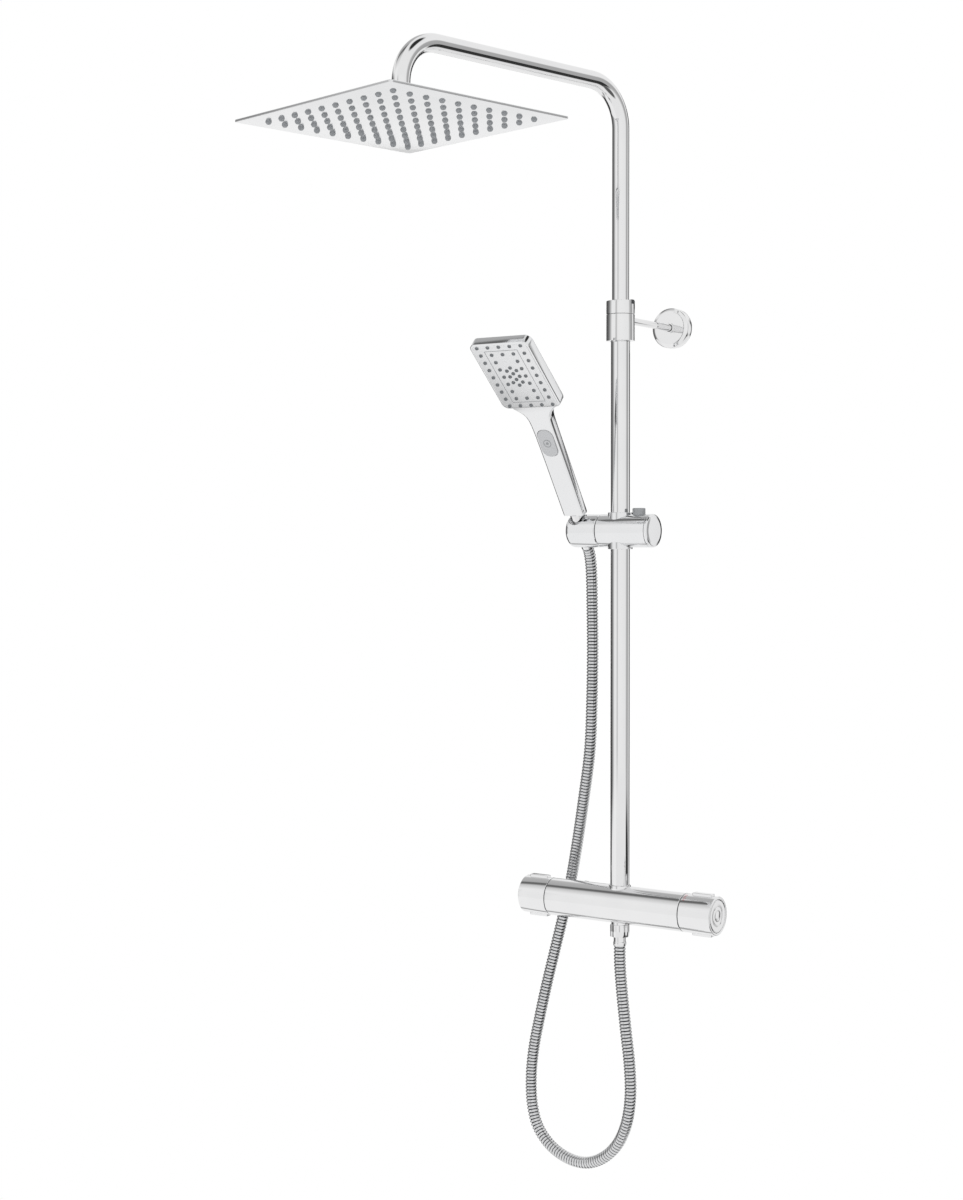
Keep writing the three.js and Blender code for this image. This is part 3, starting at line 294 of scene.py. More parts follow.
def slab(width: float, length: float, corner: float, z: tuple[float, float], edge: float) -> Shape:
    """A rounded plate with eased edges.

    Args:
        width: Size along X.
        length: Size along Y.
        corner: Radius of its upright corners.
        z: Its lowest and highest height.
        edge: Radius of its level edges.

    Returns:
        The closed shape.
    """
    steps = 4
    bottom, top = z
    turns = [pi / 2 * k / steps for k in range(steps + 1)]
    lifts = [(edge * (1 - sin(t)), edge * (1 - cos(t))) for t in turns]
    levels = [(inset, bottom + lift) for inset, lift in lifts]
    levels += [(inset, top - lift) for inset, lift in reversed(lifts)]
    rings = []
    for inset, height in levels:
        outline = rounded_outline(width - 2 * inset, length - 2 * inset, corner - inset)
        rings.append([(px, py, height) for px, py in outline])
    return loft(rings)


def swept(path: Sequence[Vector], radius: float, bore: float = 0.0, sides: int = 40) -> Shape:
    """A round bar or tube along a path.

    Args:
        path: Its centreline's points.
        radius: Its outer radius.
        bore: Its inner radius, or 0 for a solid bar.
        sides: Segments round it.

    Returns:
        The closed shape.
    """
    tangents = []
    for i in range(len(path)):
        ahead, behind = path[min(i + 1, len(path) - 1)], path[max(i - 1, 0)]
        tangents.append((ahead - behind).normalized())
    side = tangents[0].orthogonal().normalized()
    frames = []
    for tangent in tangents:
        side = (side - tangent * side.dot(tangent)).normalized()
        frames.append((side.copy(), tangent.cross(side)))

    def ring(i: int, r: float) -> list[Point]:
        """A circle round one of the path's points.

        Args:
            i: The point's number.
            r: The circle's radius.

        Returns:
            The circle's points.
        """
        across, up = frames[i]
        turns = [2 * pi * k / sides for k in range(sides)]
        return [tuple(path[i] + (across * cos(t) + up * sin(t)) * r) for t in turns]

    order = range(len(path))
    if not bore:
        return loft([ring(i, radius) for i in order])
    rings = [ring(i, radius) for i in order] + [ring(i, bore) for i in reversed(order)]
    rings.append(rings[0])
    skin = loft(rings)
    return Shape([tuple(p) for p in skin.points], skin.faces[1:-1])


def lobed(radius: float, depth: float, lobes: int, z: tuple[float, float], edge: float) -> Shape:
    """A grip nut's round body with shallow flats pressed into it all round.

    Args:
        radius: Its radius between the flats.
        depth: How deep each flat goes.
        lobes: How many flats it has.
        z: Its lowest and highest height.
        edge: Easing of its two ends.

    Returns:
        The closed shape.
    """
    bottom, top = z
    sides = 12 * lobes
    levels = [(edge, bottom), (edge * 0.3, bottom + edge * 0.3), (0, bottom + edge)]
    levels += [(0, top - edge), (edge * 0.3, top - edge * 0.3), (edge, top)]
    rings = []
    for inset, height in levels:
        ring = []
        for k in range(sides):
            turn = 2 * pi * k / sides
            r = radius - inset - depth * (0.5 - 0.5 * cos(lobes * turn)) ** 2
            ring.append((r * cos(turn), r * sin(turn), height))
        rings.append(ring)
    return loft(rings)


# ------------------------------------------------------------------------------------ materials
def linear(code: str) -> tuple[float, float, float, float]:
    """Reads a colour.

    Args:
        code: An sRGB colour as # and six hex digits.

    Returns:
        The colour as linear RGBA.
    """
    parts = [int(code[i : i + 2], 16) / 255 for i in (1, 3, 5)]
    r, g, b = (v / 12.92 if v <= 0.04045 else ((v + 0.055) / 1.055) ** 2.4 for v in parts)
    return (r, g, b, 1.0)


def add_node(tree: bpy.types.NodeTree, kind: str, settings: dict, links: dict) -> bpy.types.Node:
    """Adds a node to a tree.

    Args:
        tree: The node tree.
        kind: The node's type name.
        settings: Attributes by name, and input values under "inputs".
        links: Sockets that feed its inputs, by input name or number.

    Returns:
        The node.
    """
    node = tree.nodes.new(kind)
    for name, value in settings.items():
        if name != "inputs":
            setattr(node, name, value)
    for key, value in settings.get("inputs", {}).items():
        node.inputs[key].default_value = value
    for key, socket in links.items():
        tree.links.new(socket, node.inputs[key])
    return node


class Grain(Enum):
    """How a finish's fine marks run."""

    EVEN = (1.0, 1.0, 1.0)
    BRUSHED_X = (0.04, 1.0, 1.0)
    WIPED_Z = (1.0, 1.0, 0.2)


@dataclass(frozen=True)
class Finish:
    """A surface finish: its two colours, gloss and fine marks."""

    name: str
    colour: str
    worn: str
    metallic: float
    roughness: tuple[float, float]
    grain_mm: float
    bump_mm: float
    grain: Grain = Grain.EVEN
    coat: float = 0.0

    def material(self) -> bpy.types.Material:
        """Makes the finish's material on its first use.

        Returns:
            The material.
        """
        known = bpy.data.materials.get(self.name)
        if known:
            return known
        made = bpy.data.materials.new(self.name)
        made.use_nodes = True
        tree = made.node_tree
        shader = tree.nodes["Principled BSDF"]
        shader.inputs["Metallic"].default_value = self.metallic
        shader.inputs["Coat Weight"].default_value = self.coat
        place = add_node(tree, "ShaderNodeTexCoord", {}, {})
        scale = tuple(part / (self.grain_mm * MM) for part in self.grain.value)
        laid = add_node(
            tree,
            "ShaderNodeMapping",
            {"inputs": {"Scale": scale}},
            {"Vector": place.outputs["Object"]},
        )
        fine = add_node(
            tree,
            "ShaderNodeTexNoise",
            {"inputs": {"Scale": 1.0, "Detail": 3.0, "Roughness": 0.6}},
            {"Vector": laid.outputs["Vector"]},
        )
        broad = add_node(
            tree,
            "ShaderNodeTexNoise",
            {"inputs": {"Scale": 24.0, "Detail": 2.0}},
            {"Vector": place.outputs["Object"]},
        )
        mix = add_node(
            tree,
            "ShaderNodeMix",
            {"data_type": "RGBA", "inputs": {6: linear(self.colour), 7: linear(self.worn)}},
            {0: broad.outputs[0]},
        )
        tree.links.new(mix.outputs[2], shader.inputs["Base Color"])
        gloss = add_node(
            tree,
            "ShaderNodeMapRange",
            {"inputs": {1: 0.3, 2: 0.7, 3: self.roughness[0], 4: self.roughness[1]}},
            {0: fine.outputs[0]},
        )
        tree.links.new(gloss.outputs[0], shader.inputs["Roughness"])
        if self.bump_mm:
            bump = add_node(
                tree,
                "ShaderNodeBump",
                {"inputs": {"Strength": 0.5, "Distance": self.bump_mm * MM}},
                {"Height": fine.outputs[0]},
            )
            tree.links.new(bump.outputs[0], shader.inputs["Normal"])
        return made


# Bright chrome plate on polished brass: a mirror with the faintest haze of wiping marks.
CHROME = Finish("bright_chrome_plate", "#ededed", "#e6e6e7", 1.0, (0.03, 0.07), 6.0, 0.0, Grain.WIPED_Z)
# Chrome plate on moulded plastic: a little softer, because the moulding under it ripples slightly.
PLATED_PLASTIC = Finish("chromed_abs", "#ebebec", "#e4e5e6", 1.0, (0.06, 0.11), 9.0, 0.004)
# Satin chrome on the handset's spray panel.
SATIN_PANEL = Finish("satin_chromed_panel", "#e6e6e7", "#dedfe0", 0.85, (0.2, 0.28), 1.2, 0.002)
# Polished stainless steel sheet: fine parallel polishing marks, drawn coarse enough to show.
STEEL = Finish(
    "polished_stainless_steel", "#e9e9ea", "#e0e1e2", 1.0, (0.08, 0.14), 1.6, 0.001, Grain.BRUSHED_X
)
# Wound chromed strip of the hose.
HOSE_STRIP = Finish("wound_chromed_strip", "#dfdfe0", "#d0d1d2", 1.0, (0.1, 0.18), 3.0, 0.0)
# The hose's inner strip, which the wound edges keep in shade.
HOSE_CORE = Finish("shaded_inner_strip", "#3c3e41", "#34363a", 0.9, (0.3, 0.4), 2.0, 0.0)
# Turned brass of the cartridges and nipples inside, with fine tool marks.
BRASS = Finish("turned_brass", "#b89a5a", "#a68748", 1.0, (0.25, 0.4), 1.5, 0.004)
# Dark low-friction plastic of the lock ring's tab; the same dark colour on the seam rings is painted shade,
# standing in for the shaded gaps between barrels.
DARK_PLASTIC_AND_SEAM_SHADE = Finish("dark_acetal_and_seam_shade", "#242629", "#2c2e31", 0.0, (0.4, 0.55), 0.8, 0.01)
# Grey satin plastic of the release button and the handset's thin lines.
GREY_PLASTIC = Finish("grey_satin_button", "#989a9c", "#8e9092", 0.35, (0.25, 0.36), 1.0, 0.006)
# The handset's spray button, only a shade darker than the handle round it.
PALE_BUTTON = Finish("pale_satin_button", "#c3c4c6", "#b8b9bb", 0.45, (0.22, 0.3), 1.0, 0.004)
# White plastic of the parts inside.
WHITE_PLASTIC = Finish("white_acetal", "#e4e5e6", "#dadbdd", 0.0, (0.35, 0.5), 0.8, 0.008)
# The handset's darker nozzles.
SILICONE = Finish("grey_silicone", "#6a6d70", "#75787b", 0.0, (0.5, 0.65), 0.6, 0.01)
# The rain head's softer, paler nozzles.
PALE_SILICONE = Finish("pale_grey_silicone", "#8b8e91", "#96999c", 0.0, (0.5, 0.65), 0.8, 0.01)
# Black rubber of the washers and seals.
RUBBER = Finish("black_rubber", "#1b1b1c", "#232324", 0.0, (0.65, 0.8), 0.5, 0.01)
# Red enamel of the temperature scale.
RED_ENAMEL = Finish("red_enamel", "#b8434a", "#a83a41", 0.0, (0.3, 0.4), 0.8, 0.0)

SLOT_FINISH = {
    "chrome": CHROME,
    "chromed_plastic": PLATED_PLASTIC,
    "polished_steel": STEEL,
    "hose_steel": HOSE_STRIP,
    "brass": BRASS,
    "dark_plastic": DARK_PLASTIC_AND_SEAM_SHADE,
    "white_plastic": WHITE_PLASTIC,
    "silicone": SILICONE,
    "rubber": RUBBER,
}


def finish_piece(
    piece: bpy.types.Object,
    finish: Finish,
    body: str,
    stands_for: Sequence[str] = (),
) -> bpy.types.Object:
    """Gives a piece its material, shading and body, and reports it.

    Args:
        piece: A mesh object with its place in its mesh.
        finish: Its surface finish.
        body: The CAD body that it moves with.
        stands_for: CAD nodes that it replaces.

    Returns:
        The piece.
    """
    if not piece.data.materials:
        piece.data.materials.append(finish.material())
    piece.data.shade_smooth()
    piece.data.set_sharp_from_angle(angle=SMOOTH_ANGLE)
    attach(piece, body)
    if stands_for:
        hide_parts(*stands_for)
    LOG.info("%s: %d faces on %s", piece.name, len(piece.data.polygons), body)
    return piece


def add_piece(shape: Shape, name: str, finish: Finish, body: str, slot: str, *stands_for: str) -> None:
    """Makes a shape's mesh and finishes it as a piece.

    Args:
        shape: The piece's shape in its place.
        name: The piece's name.
        finish: Its surface finish.
        body: The CAD body that it moves with.
        slot: The record's material slot; not used.
        stands_for: CAD nodes that it replaces.
    """
    finish_piece(shape.mesh(name), finish, body, stands_for)


def carved(piece: bpy.types.Object, away: Shape) -> bpy.types.Object:
    """Cuts a shape out of a piece.

    Args:
        piece: A mesh object.
        away: The shape to take away.

    Returns:
        The same object with its new mesh.
    """
    tool = away.mesh("tool")
    cut = piece.modifiers.new("cut", "BOOLEAN")
    cut.operation = "DIFFERENCE"
    cut.object = tool
    cut.solver = "EXACT"
    seen = piece.evaluated_get(bpy.context.evaluated_depsgraph_get())
    mesh = bpy.data.meshes.new_from_object(seen)
    piece.modifiers.clear()
    piece.data = mesh
    bpy.data.objects.remove(tool)
    return piece


# ------------------------------------------------------------------------------------ repeats
class Layout(Enum):
    """Where a repeated piece is put."""

    POINTS = "points"
    ROUTE = "route"


def repeat_tree(layout: Layout) -> bpy.types.NodeTree:
    """A Geometry Nodes tree that puts a piece on each point, or along a route over a core.

    Args:
        layout: POINTS for a mesh's points, ROUTE for evenly along a curve.

    Returns:
        The tree, with the inputs Piece, Finish, Count, Core Radius and Core Finish.
    """
    tree = bpy.data.node_groups.new(f"repeat_on_{layout.value}", "GeometryNodeTree")
    for name, kind in (
        ("Geometry", "Geometry"),
        ("Piece", "Object"),
        ("Finish", "Material"),
        ("Count", "Int"),
        ("Core Radius", "Float"),
        ("Core Finish", "Material"),
    ):
        tree.interface.new_socket(name, in_out="INPUT", socket_type=f"NodeSocket{kind}")
    tree.interface.new_socket("Geometry", in_out="OUTPUT", socket_type="NodeSocketGeometry")
    source = add_node(tree, "NodeGroupInput", {}, {}).outputs
    piece = add_node(tree, "GeometryNodeObjectInfo", {}, {"Object": source["Piece"]})
    seeds, turn = source["Geometry"], None
    if layout is Layout.ROUTE:
        spread = add_node(
            tree,
            "GeometryNodeCurveToPoints",
            {"mode": "COUNT"},
            {"Curve": source["Geometry"], "Count": source["Count"]},
        )
        seeds, turn = spread.outputs["Points"], spread.outputs["Rotation"]
    feed = {"Points": seeds, "Instance": piece.outputs["Geometry"]}
    if turn is not None:
        feed["Rotation"] = turn
    made = add_node(tree, "GeometryNodeInstanceOnPoints", {}, feed).outputs[0]
    if layout is Layout.ROUTE:
        circle = add_node(
            tree,
            "GeometryNodeCurvePrimitiveCircle",
            {"inputs": {"Resolution": 20}},
            {"Radius": source["Core Radius"]},
        )
        core = add_node(
            tree,
            "GeometryNodeCurveToMesh",
            {"inputs": {"Fill Caps": True}},
            {"Curve": source["Geometry"], "Profile Curve": circle.outputs[0]},
        )
        flagged = add_node(
            tree,
            "GeometryNodeStoreNamedAttribute",
            {"data_type": "BOOLEAN", "domain": "FACE", "inputs": {"Name": "core", "Value": True}},
            {"Geometry": core.outputs[0]},
        )
        shaded = add_node(
            tree,
            "GeometryNodeSetMaterial",
            {},
            {"Geometry": flagged.outputs[0], "Material": source["Core Finish"]},
        )
        merge = add_node(tree, "GeometryNodeJoinGeometry", {}, {})
        tree.links.new(shaded.outputs[0], merge.inputs[0])
        tree.links.new(made, merge.inputs[0])
        made = merge.outputs[0]
    real = add_node(tree, "GeometryNodeRealizeInstances", {}, {"Geometry": made})
    flag = add_node(
        tree,
        "GeometryNodeInputNamedAttribute",
        {"data_type": "BOOLEAN", "inputs": {"Name": "core"}},
        {},
    )
    outer = add_node(tree, "FunctionNodeBooleanMath", {"operation": "NOT"}, {0: flag.outputs["Attribute"]})
    painted = add_node(
        tree,
        "GeometryNodeSetMaterial",
        {},
        {"Geometry": real.outputs[0], "Material": source["Finish"], "Selection": outer.outputs[0]},
    )
    add_node(tree, "NodeGroupOutput", {}, {"Geometry": painted.outputs[0]})
    return tree


def repeated(
    name: str,
    seeds: bpy.types.Object,
    piece: Shape,
    finish: Finish,
    layout: Layout,
    count: int = 0,
    core_radius: float = 0.0,
) -> bpy.types.Object:
    """Repeats a small shape by Geometry Nodes and returns the result as one plain mesh.

    Args:
        name: The new object's name.
        seeds: A mesh of points, or a curve.
        piece: The shape to repeat, around its own origin.
        finish: Its surface finish.
        layout: Where the pieces go.
        count: How many along a route.
        core_radius: Radius of the bar inside the pieces along a route, in metres.

    Returns:
        The new mesh object.
    """
    pattern = piece.mesh(name + "_pattern")
    pattern.data.shade_smooth()
    pattern.data.set_sharp_from_angle(angle=SMOOTH_ANGLE)
    tree = bpy.data.node_groups.get(f"repeat_on_{layout.value}") or repeat_tree(layout)
    step = seeds.modifiers.new("repeat", "NODES")
    step.node_group = tree
    values = {
        "Piece": pattern,
        "Finish": finish.material(),
        "Count": count,
        "Core Radius": core_radius,
        "Core Finish": HOSE_CORE.material(),
    }
    for item in tree.interface.items_tree:
        if item.in_out == "INPUT" and item.name in values:
            step[item.identifier] = values[item.name]
    seeds.update_tag()
    bpy.context.view_layer.update()
    seen = seeds.evaluated_get(bpy.context.evaluated_depsgraph_get())
    mesh = bpy.data.meshes.new_from_object(seen)
    made = bpy.data.objects.new(name, mesh)
    bpy.context.scene.collection.objects.link(made)
    bpy.data.objects.remove(seeds)
    bpy.data.objects.remove(pattern)
    return made


def point_seeds(name: str, points: Iterable[Vector]) -> bpy.types.Object:
    """Makes a mesh of loose points.

    Args:
        name: The mesh object's name.
        points: The points in metres.

    Returns:
        The object.
    """
    data = bpy.data.meshes.new(name)
    data.from_pydata([tuple(p) for p in points], [], [])
    made = bpy.data.objects.new(name, data)
    bpy.context.scene.collection.objects.link(made)
    return made


# ------------------------------------------------------------------------------------ hose
@dataclass
class Hose:
    """The wound metal hose from the handset's ferrule, behind the mixer, round to the outlet."""

    diameter: float = 14.0
    pitch: float = 3.9
    ring_sides: int = 18
    core_radius: float = 5.9
    column_y: float = -50.0
    route: tuple[Point, ...] = (
        (-52, 12.6, 420.3), (-52, 17, 413), (-52.3, 21, 400), (-52.4, 23.2, 380),
        (-52, 23.6, 350), (-51.2, 23.4, 300), (-53, 25, 240), (-58.5, 29.5, 176),
        (-71.5, 37, 115), (-87, 46, 53), (-97.5, 51.5, 15), (-107, 49, -30),
        (-117.5, 44, -79), (-125.5, 39.5, -118), (-133.5, 36.5, -158), (-140, 33.5, -196),
        (-142.3, 31, -230), (-139, 28, -264), (-129, 25, -290), (-108, 21, -309),
        (-80, 16.5, -318.5), (-52, 12, -317.5), (-27, 8, -306), (-6, 5, -286),
        (8, 2.5, -258), (14, 1, -225), (13.2, 0.3, -188), (8.6, 0, -150), (3.6, 0, -108),
        (0.6, 0, -76), (0, 0, -60), (0, 0, -48.4),
    )

    def centreline(self, steps: int = 12) -> list[Vector]:
        """The smooth curve through the route's points, in metres.

        Args:
            steps: Points for each stretch between two route points.

        Returns:
            The points from the handset's end to the mixer's.
        """
        stops = [Vector((x, y + self.column_y, z)) * MM for x, y, z in self.route]
        padded = [2 * stops[0] - stops[1], *stops, 2 * stops[-1] - stops[-2]]
        line = []
        for a, b, c, d in zip(padded, padded[1:], padded[2:], padded[3:]):
            first, second, third = ((b - a).length ** 0.5, (c - b).length ** 0.5, (d - c).length ** 0.5)
            leave = ((b - a) / first - (c - a) / (first + second) + (c - b) / second) * second
            arrive = ((c - b) / second - (d - b) / (second + third) + (d - c) / third) * second
            for k in range(steps):
                t = k / steps
                bend = 2 * b - 2 * c + leave + arrive
                ease = -3 * b + 3 * c - 2 * leave - arrive
                line.append(bend * t**3 + ease * t**2 + leave * t + b)
        line.append(stops[-1])
        return line

    def build(self) -> None:
        line = self.centreline()
        length = sum((b - a).length for a, b in zip(line, line[1:]))
        data = bpy.data.curves.new("hose_route", "CURVE")
        data.dimensions = "3D"
        spline = data.splines.new("POLY")
        spline.points.add(len(line) - 1)
        for point, place in zip(spline.points, line):
            point.co = (*place, 1)
        seeds = bpy.data.objects.new("hose_route", data)
        bpy.context.scene.collection.objects.link(seeds)
        outer, half = self.diameter / 2, 0.4 * self.pitch
        profile = [
            (outer - 0.95, -half), (outer - 0.12, -half * 0.62), (outer, half * 0.1),
            (outer - 0.25, half * 0.7), (outer - 0.95, half),
        ]
        ring = lathe(profile, self.ring_sides)
        count = ceil(length / MM / self.pitch)
        core = self.core_radius * MM
        hose = repeated("metal_hose", seeds, ring, HOSE_STRIP, Layout.ROUTE, count, core)
        hose.data.shade_smooth()
        hose.data.set_sharp_from_angle(angle=SMOOTH_ANGLE)
        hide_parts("hose")
        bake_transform(hose)
        LOG.info("metal_hose: %.3f m long, %d rings", length, count)


# ------------------------------------------------------------------------------------ mixer
@dataclass
class Mixer:
    """The bar mixer with its two handles, inlets and hose outlet."""

    radius: float = 22.2
    edge: float = 0.7
    chamber: float = 17.0
    chamber_inner: float = 34.0
    wall: float = 4.0
    end_wall: float = 9.0
    cap_radius: float = 18.7
    cap_face: float = 18.0
    cap_depth: float = 2.6
    stop_radius: float = 6.0
    stop_flange: float = 8.0
    wing: tuple[float, float, float] = (24.5, 9.0, 2.4)
    wing_start: float = 97.5
    inlet_x: float = 75.0
    inlet_bore: float = 7.5
    boss_radius: float = 12.0
    boss_foot: float = 19.0
    boss_setback: float = 12.0
    nut_radius: float = 13.8
    nut_bore: float = 12.3
    riser_foot: tuple[float, float] = (11.3, 12.9)
    nipple: tuple[float, float] = (6.3, 9.8)
    outlet_nut: tuple[float, float] = (7.8, 11.35)
    gap: float = 0.3
    joint: float = 0.55

    def __post_init__(self) -> None:
        """Reads the mixer's place and length from the frame."""
        self.axis = Vector((0, middle("thermostat_spindle").y, middle("thermostat_spindle").z))
        self.left, self.right = low("mixer_body").x, high("mixer_body").x
        self.end = high("temperature_handle").x

    def body(self) -> None:
        """The barrel with its cartridge chambers and the two inlet bosses."""
        profile = [
            (0, -self.chamber_inner), (self.chamber, -self.chamber_inner), (self.chamber, self.left),
            (self.radius, self.left), (self.radius, self.right), (self.chamber, self.right),
            (self.chamber, self.chamber_inner), (0, self.chamber_inner),
        ]
        barrel = lathe(profile, BARREL_SIDES, self.edge).placed(along_x(self.axis))
        reach = -self.axis.y - self.boss_setback
        boss = lathe(drum(self.inlet_bore, self.boss_radius, self.boss_foot, reach), SMALL_SIDES, 0.5)
        sides = (-self.inlet_x, self.inlet_x)
        parts = [boss.placed(along_y(self.axis + Vector((x, 0, 0)))) for x in sides]
        foot = lathe(drum(*self.riser_foot, self.radius - 4, self.radius + 1.1), ROUND_SIDES, 0.4)
        parts.append(foot.moved(0, self.axis.y, 0))
        add_piece(barrel.joined(*parts), "mixer_barrel", CHROME, COLUMN, "chrome", "mixer_body")

    def joints(self) -> None:
        """A dark ring of painted shade in the seam between the barrel and each handle, and the outlet's
        nipple.
        """
        inner, outer = self.chamber + 1.0, self.radius - SEAM_SHADE_INSET
        span = self.gap + self.joint
        # Each dark ring is painted shade, standing in for the shaded gap at the seam.
        for name, x in (("right", self.right), ("left", self.left - self.gap - self.joint)):
            ring = lathe(drum(inner, outer, x, x + span), ROUND_SIDES).placed(along_x(self.axis))
            add_piece(ring, f"slip_ring_{name}", DARK_PLASTIC_AND_SEAM_SHADE, COLUMN, "dark_plastic")
        bottom, top = low("outlet_nipple").z, high("outlet_nipple").z
        nipple = lathe(drum(*self.nipple, bottom, top), ROUND_SIDES, 0.3).moved(0, self.axis.y, 0)
        add_piece(nipple, "chromed_nipple", CHROME, COLUMN, "chrome", "outlet_nipple")

    def inlets(self) -> None:
        """The two union nuts on the wall side, each with pressed grip flats."""
        for side in ("left", "right"):
            node = f"inlet_nut_{side}"
            place = along_y(middle(node))
            half = (high(node).y - low(node).y) / 2
            nut = lobed(self.nut_radius, 0.8, 8, (-half, half), 0.8).placed(place).mesh(f"union_nut_{side}")
            hole = lathe(drum(0, self.nut_bore, -half - 1, half + 1), SMALL_SIDES).placed(place)
            finish_piece(carved(nut, hole), CHROME, COLUMN, [node])

    def handle(self, seam: float, hole: float) -> Shape:
        """A handle about +X with two finger wings.

        Args:
            seam: Where it starts along X.
            hole: Radius of the hole through its end, or 0.

        Returns:
            The shape, drawn along local Z.
        """
        inside, inner = self.end - self.end_wall, self.radius - self.wall
        seat, recess = self.cap_radius + self.gap, self.end - self.cap_depth
        profile = [
            (hole, inside), (inner, inside), (inner, seam), (self.radius, seam), (self.radius, self.end),
            (seat, self.end), (seat, recess), (hole, recess),
        ]
        shell = lathe(profile, BARREL_SIDES, self.edge)
        length, width, proud = self.wing
        wing = slab(length, width, 1.2, (self.radius - 2.5, self.radius + proud), 0.9)
        wings = []
        for turn in (0, pi):
            lay = Matrix.Rotation(turn, 4, "Z") @ Matrix.Translation((0, 0, self.wing_start + length / 2))
            wings.append(wing.placed(lay @ Matrix.Rotation(pi / 2, 4, "Y")))
        return shell.joined(*wings)

    def temperature_side(self) -> None:
        """The right handle, its cap, stop button, ring mark and scale ticks."""
        place = along_x(self.axis)
        hole = self.stop_radius + self.gap
        seam = low("temperature_handle").x + self.joint
        body, slot, end = "temperature_control", "chrome", self.end
        grip = self.handle(seam, hole).placed(place)
        add_piece(grip, "temperature_grip", CHROME, body, slot, "temperature_handle")
        base = end - self.cap_depth + self.gap
        profile = [
            (hole, base), (self.cap_radius, base), (self.cap_radius, end - 0.35), (self.cap_face, end),
            (11.9, end), (11.7, end - 0.5), (11.1, end - 0.5), (10.9, end), (hole, end),
        ]
        cap = lathe(profile, ROUND_SIDES, 0.2).placed(place)
        add_piece(cap, "temperature_end_disc", CHROME, body, slot, "temperature_cap")
        foot, face = low("stop_button").x, end - 0.1
        profile = [
            (0, foot), (self.stop_flange, foot), (self.stop_flange, foot + 2),
            (self.stop_radius, foot + 2), (self.stop_radius, face), (0, face),
        ]
        button = lathe(profile, ROUND_SIDES, 0.4).placed(place)
        add_piece(button, "stop_push_button", CHROME, "temperature_stop", slot, "stop_button")
        ticks = []
        for k in range(4):
            tick = slab(2.6 + 1.2 * (k % 2), 0.7, 0.3, (self.radius - 0.3, self.radius + 0.08), 0.05)
            around = Matrix.Rotation(-radians(140 + 8 * k), 4, "Z")
            lay = around @ Matrix.Translation((0, 0, seam + 3.5)) @ Matrix.Rotation(pi / 2, 4, "Y")
            ticks.append(tick.placed(lay))
        marks = ticks[0].joined(*ticks[1:]).placed(place)
        add_piece(marks, "scale_ticks", RED_ENAMEL, body, "chromed_plastic")

    def flow_side(self) -> None:
        """The left handle and its cap."""
        place = along_x(self.axis)
        seam = -high("flow_handle").x + self.joint
        grip = self.handle(seam, 0).placed(place).mirrored_x()
        add_piece(grip, "flow_grip", CHROME, "flow_control", "chrome", "flow_handle")
        base, end = self.end - self.cap_depth + self.gap, self.end
        profile = [
            (0, base), (self.cap_radius, base), (self.cap_radius, end - 0.35), (self.cap_face, end), (0, end),
        ]
        disc = lathe(profile, ROUND_SIDES, 0.3).placed(place).mirrored_x()
        add_piece(disc, "flow_end_disc", CHROME, "flow_control", "chrome", "flow_cap")

    def outlet(self) -> None:
        """The grip nut under the mixer and the ferrule that holds the hose's end."""
        centre = Vector((0, self.axis.y, 0))
        bore, radius = self.outlet_nut
        bottom, top = low("outlet_nut").z, high("outlet_nut").z
        nut = lobed(radius, 0.7, 8, (bottom, top), 0.7).moved(*centre).mesh("outlet_grip_nut")
        hole = lathe(drum(0, bore, bottom - 1, bottom + 3), SMALL_SIDES).moved(*centre)
        finish_piece(carved(nut, hole), CHROME, COLUMN, ["outlet_nut"])
        foot = low("hose_ferrule_lower").z
        profile = [
            (4.5, foot), (7.6, foot), (7.6, foot + 4), (7.1, foot + 4.6), (7.1, bottom + 2),
            (4.5, bottom + 2),
        ]
        sleeve = lathe(profile, ROUND_SIDES, 0.35).moved(*centre)
        add_piece(sleeve, "ferrule_at_outlet", CHROME, COLUMN, "chrome", "hose_ferrule_lower")


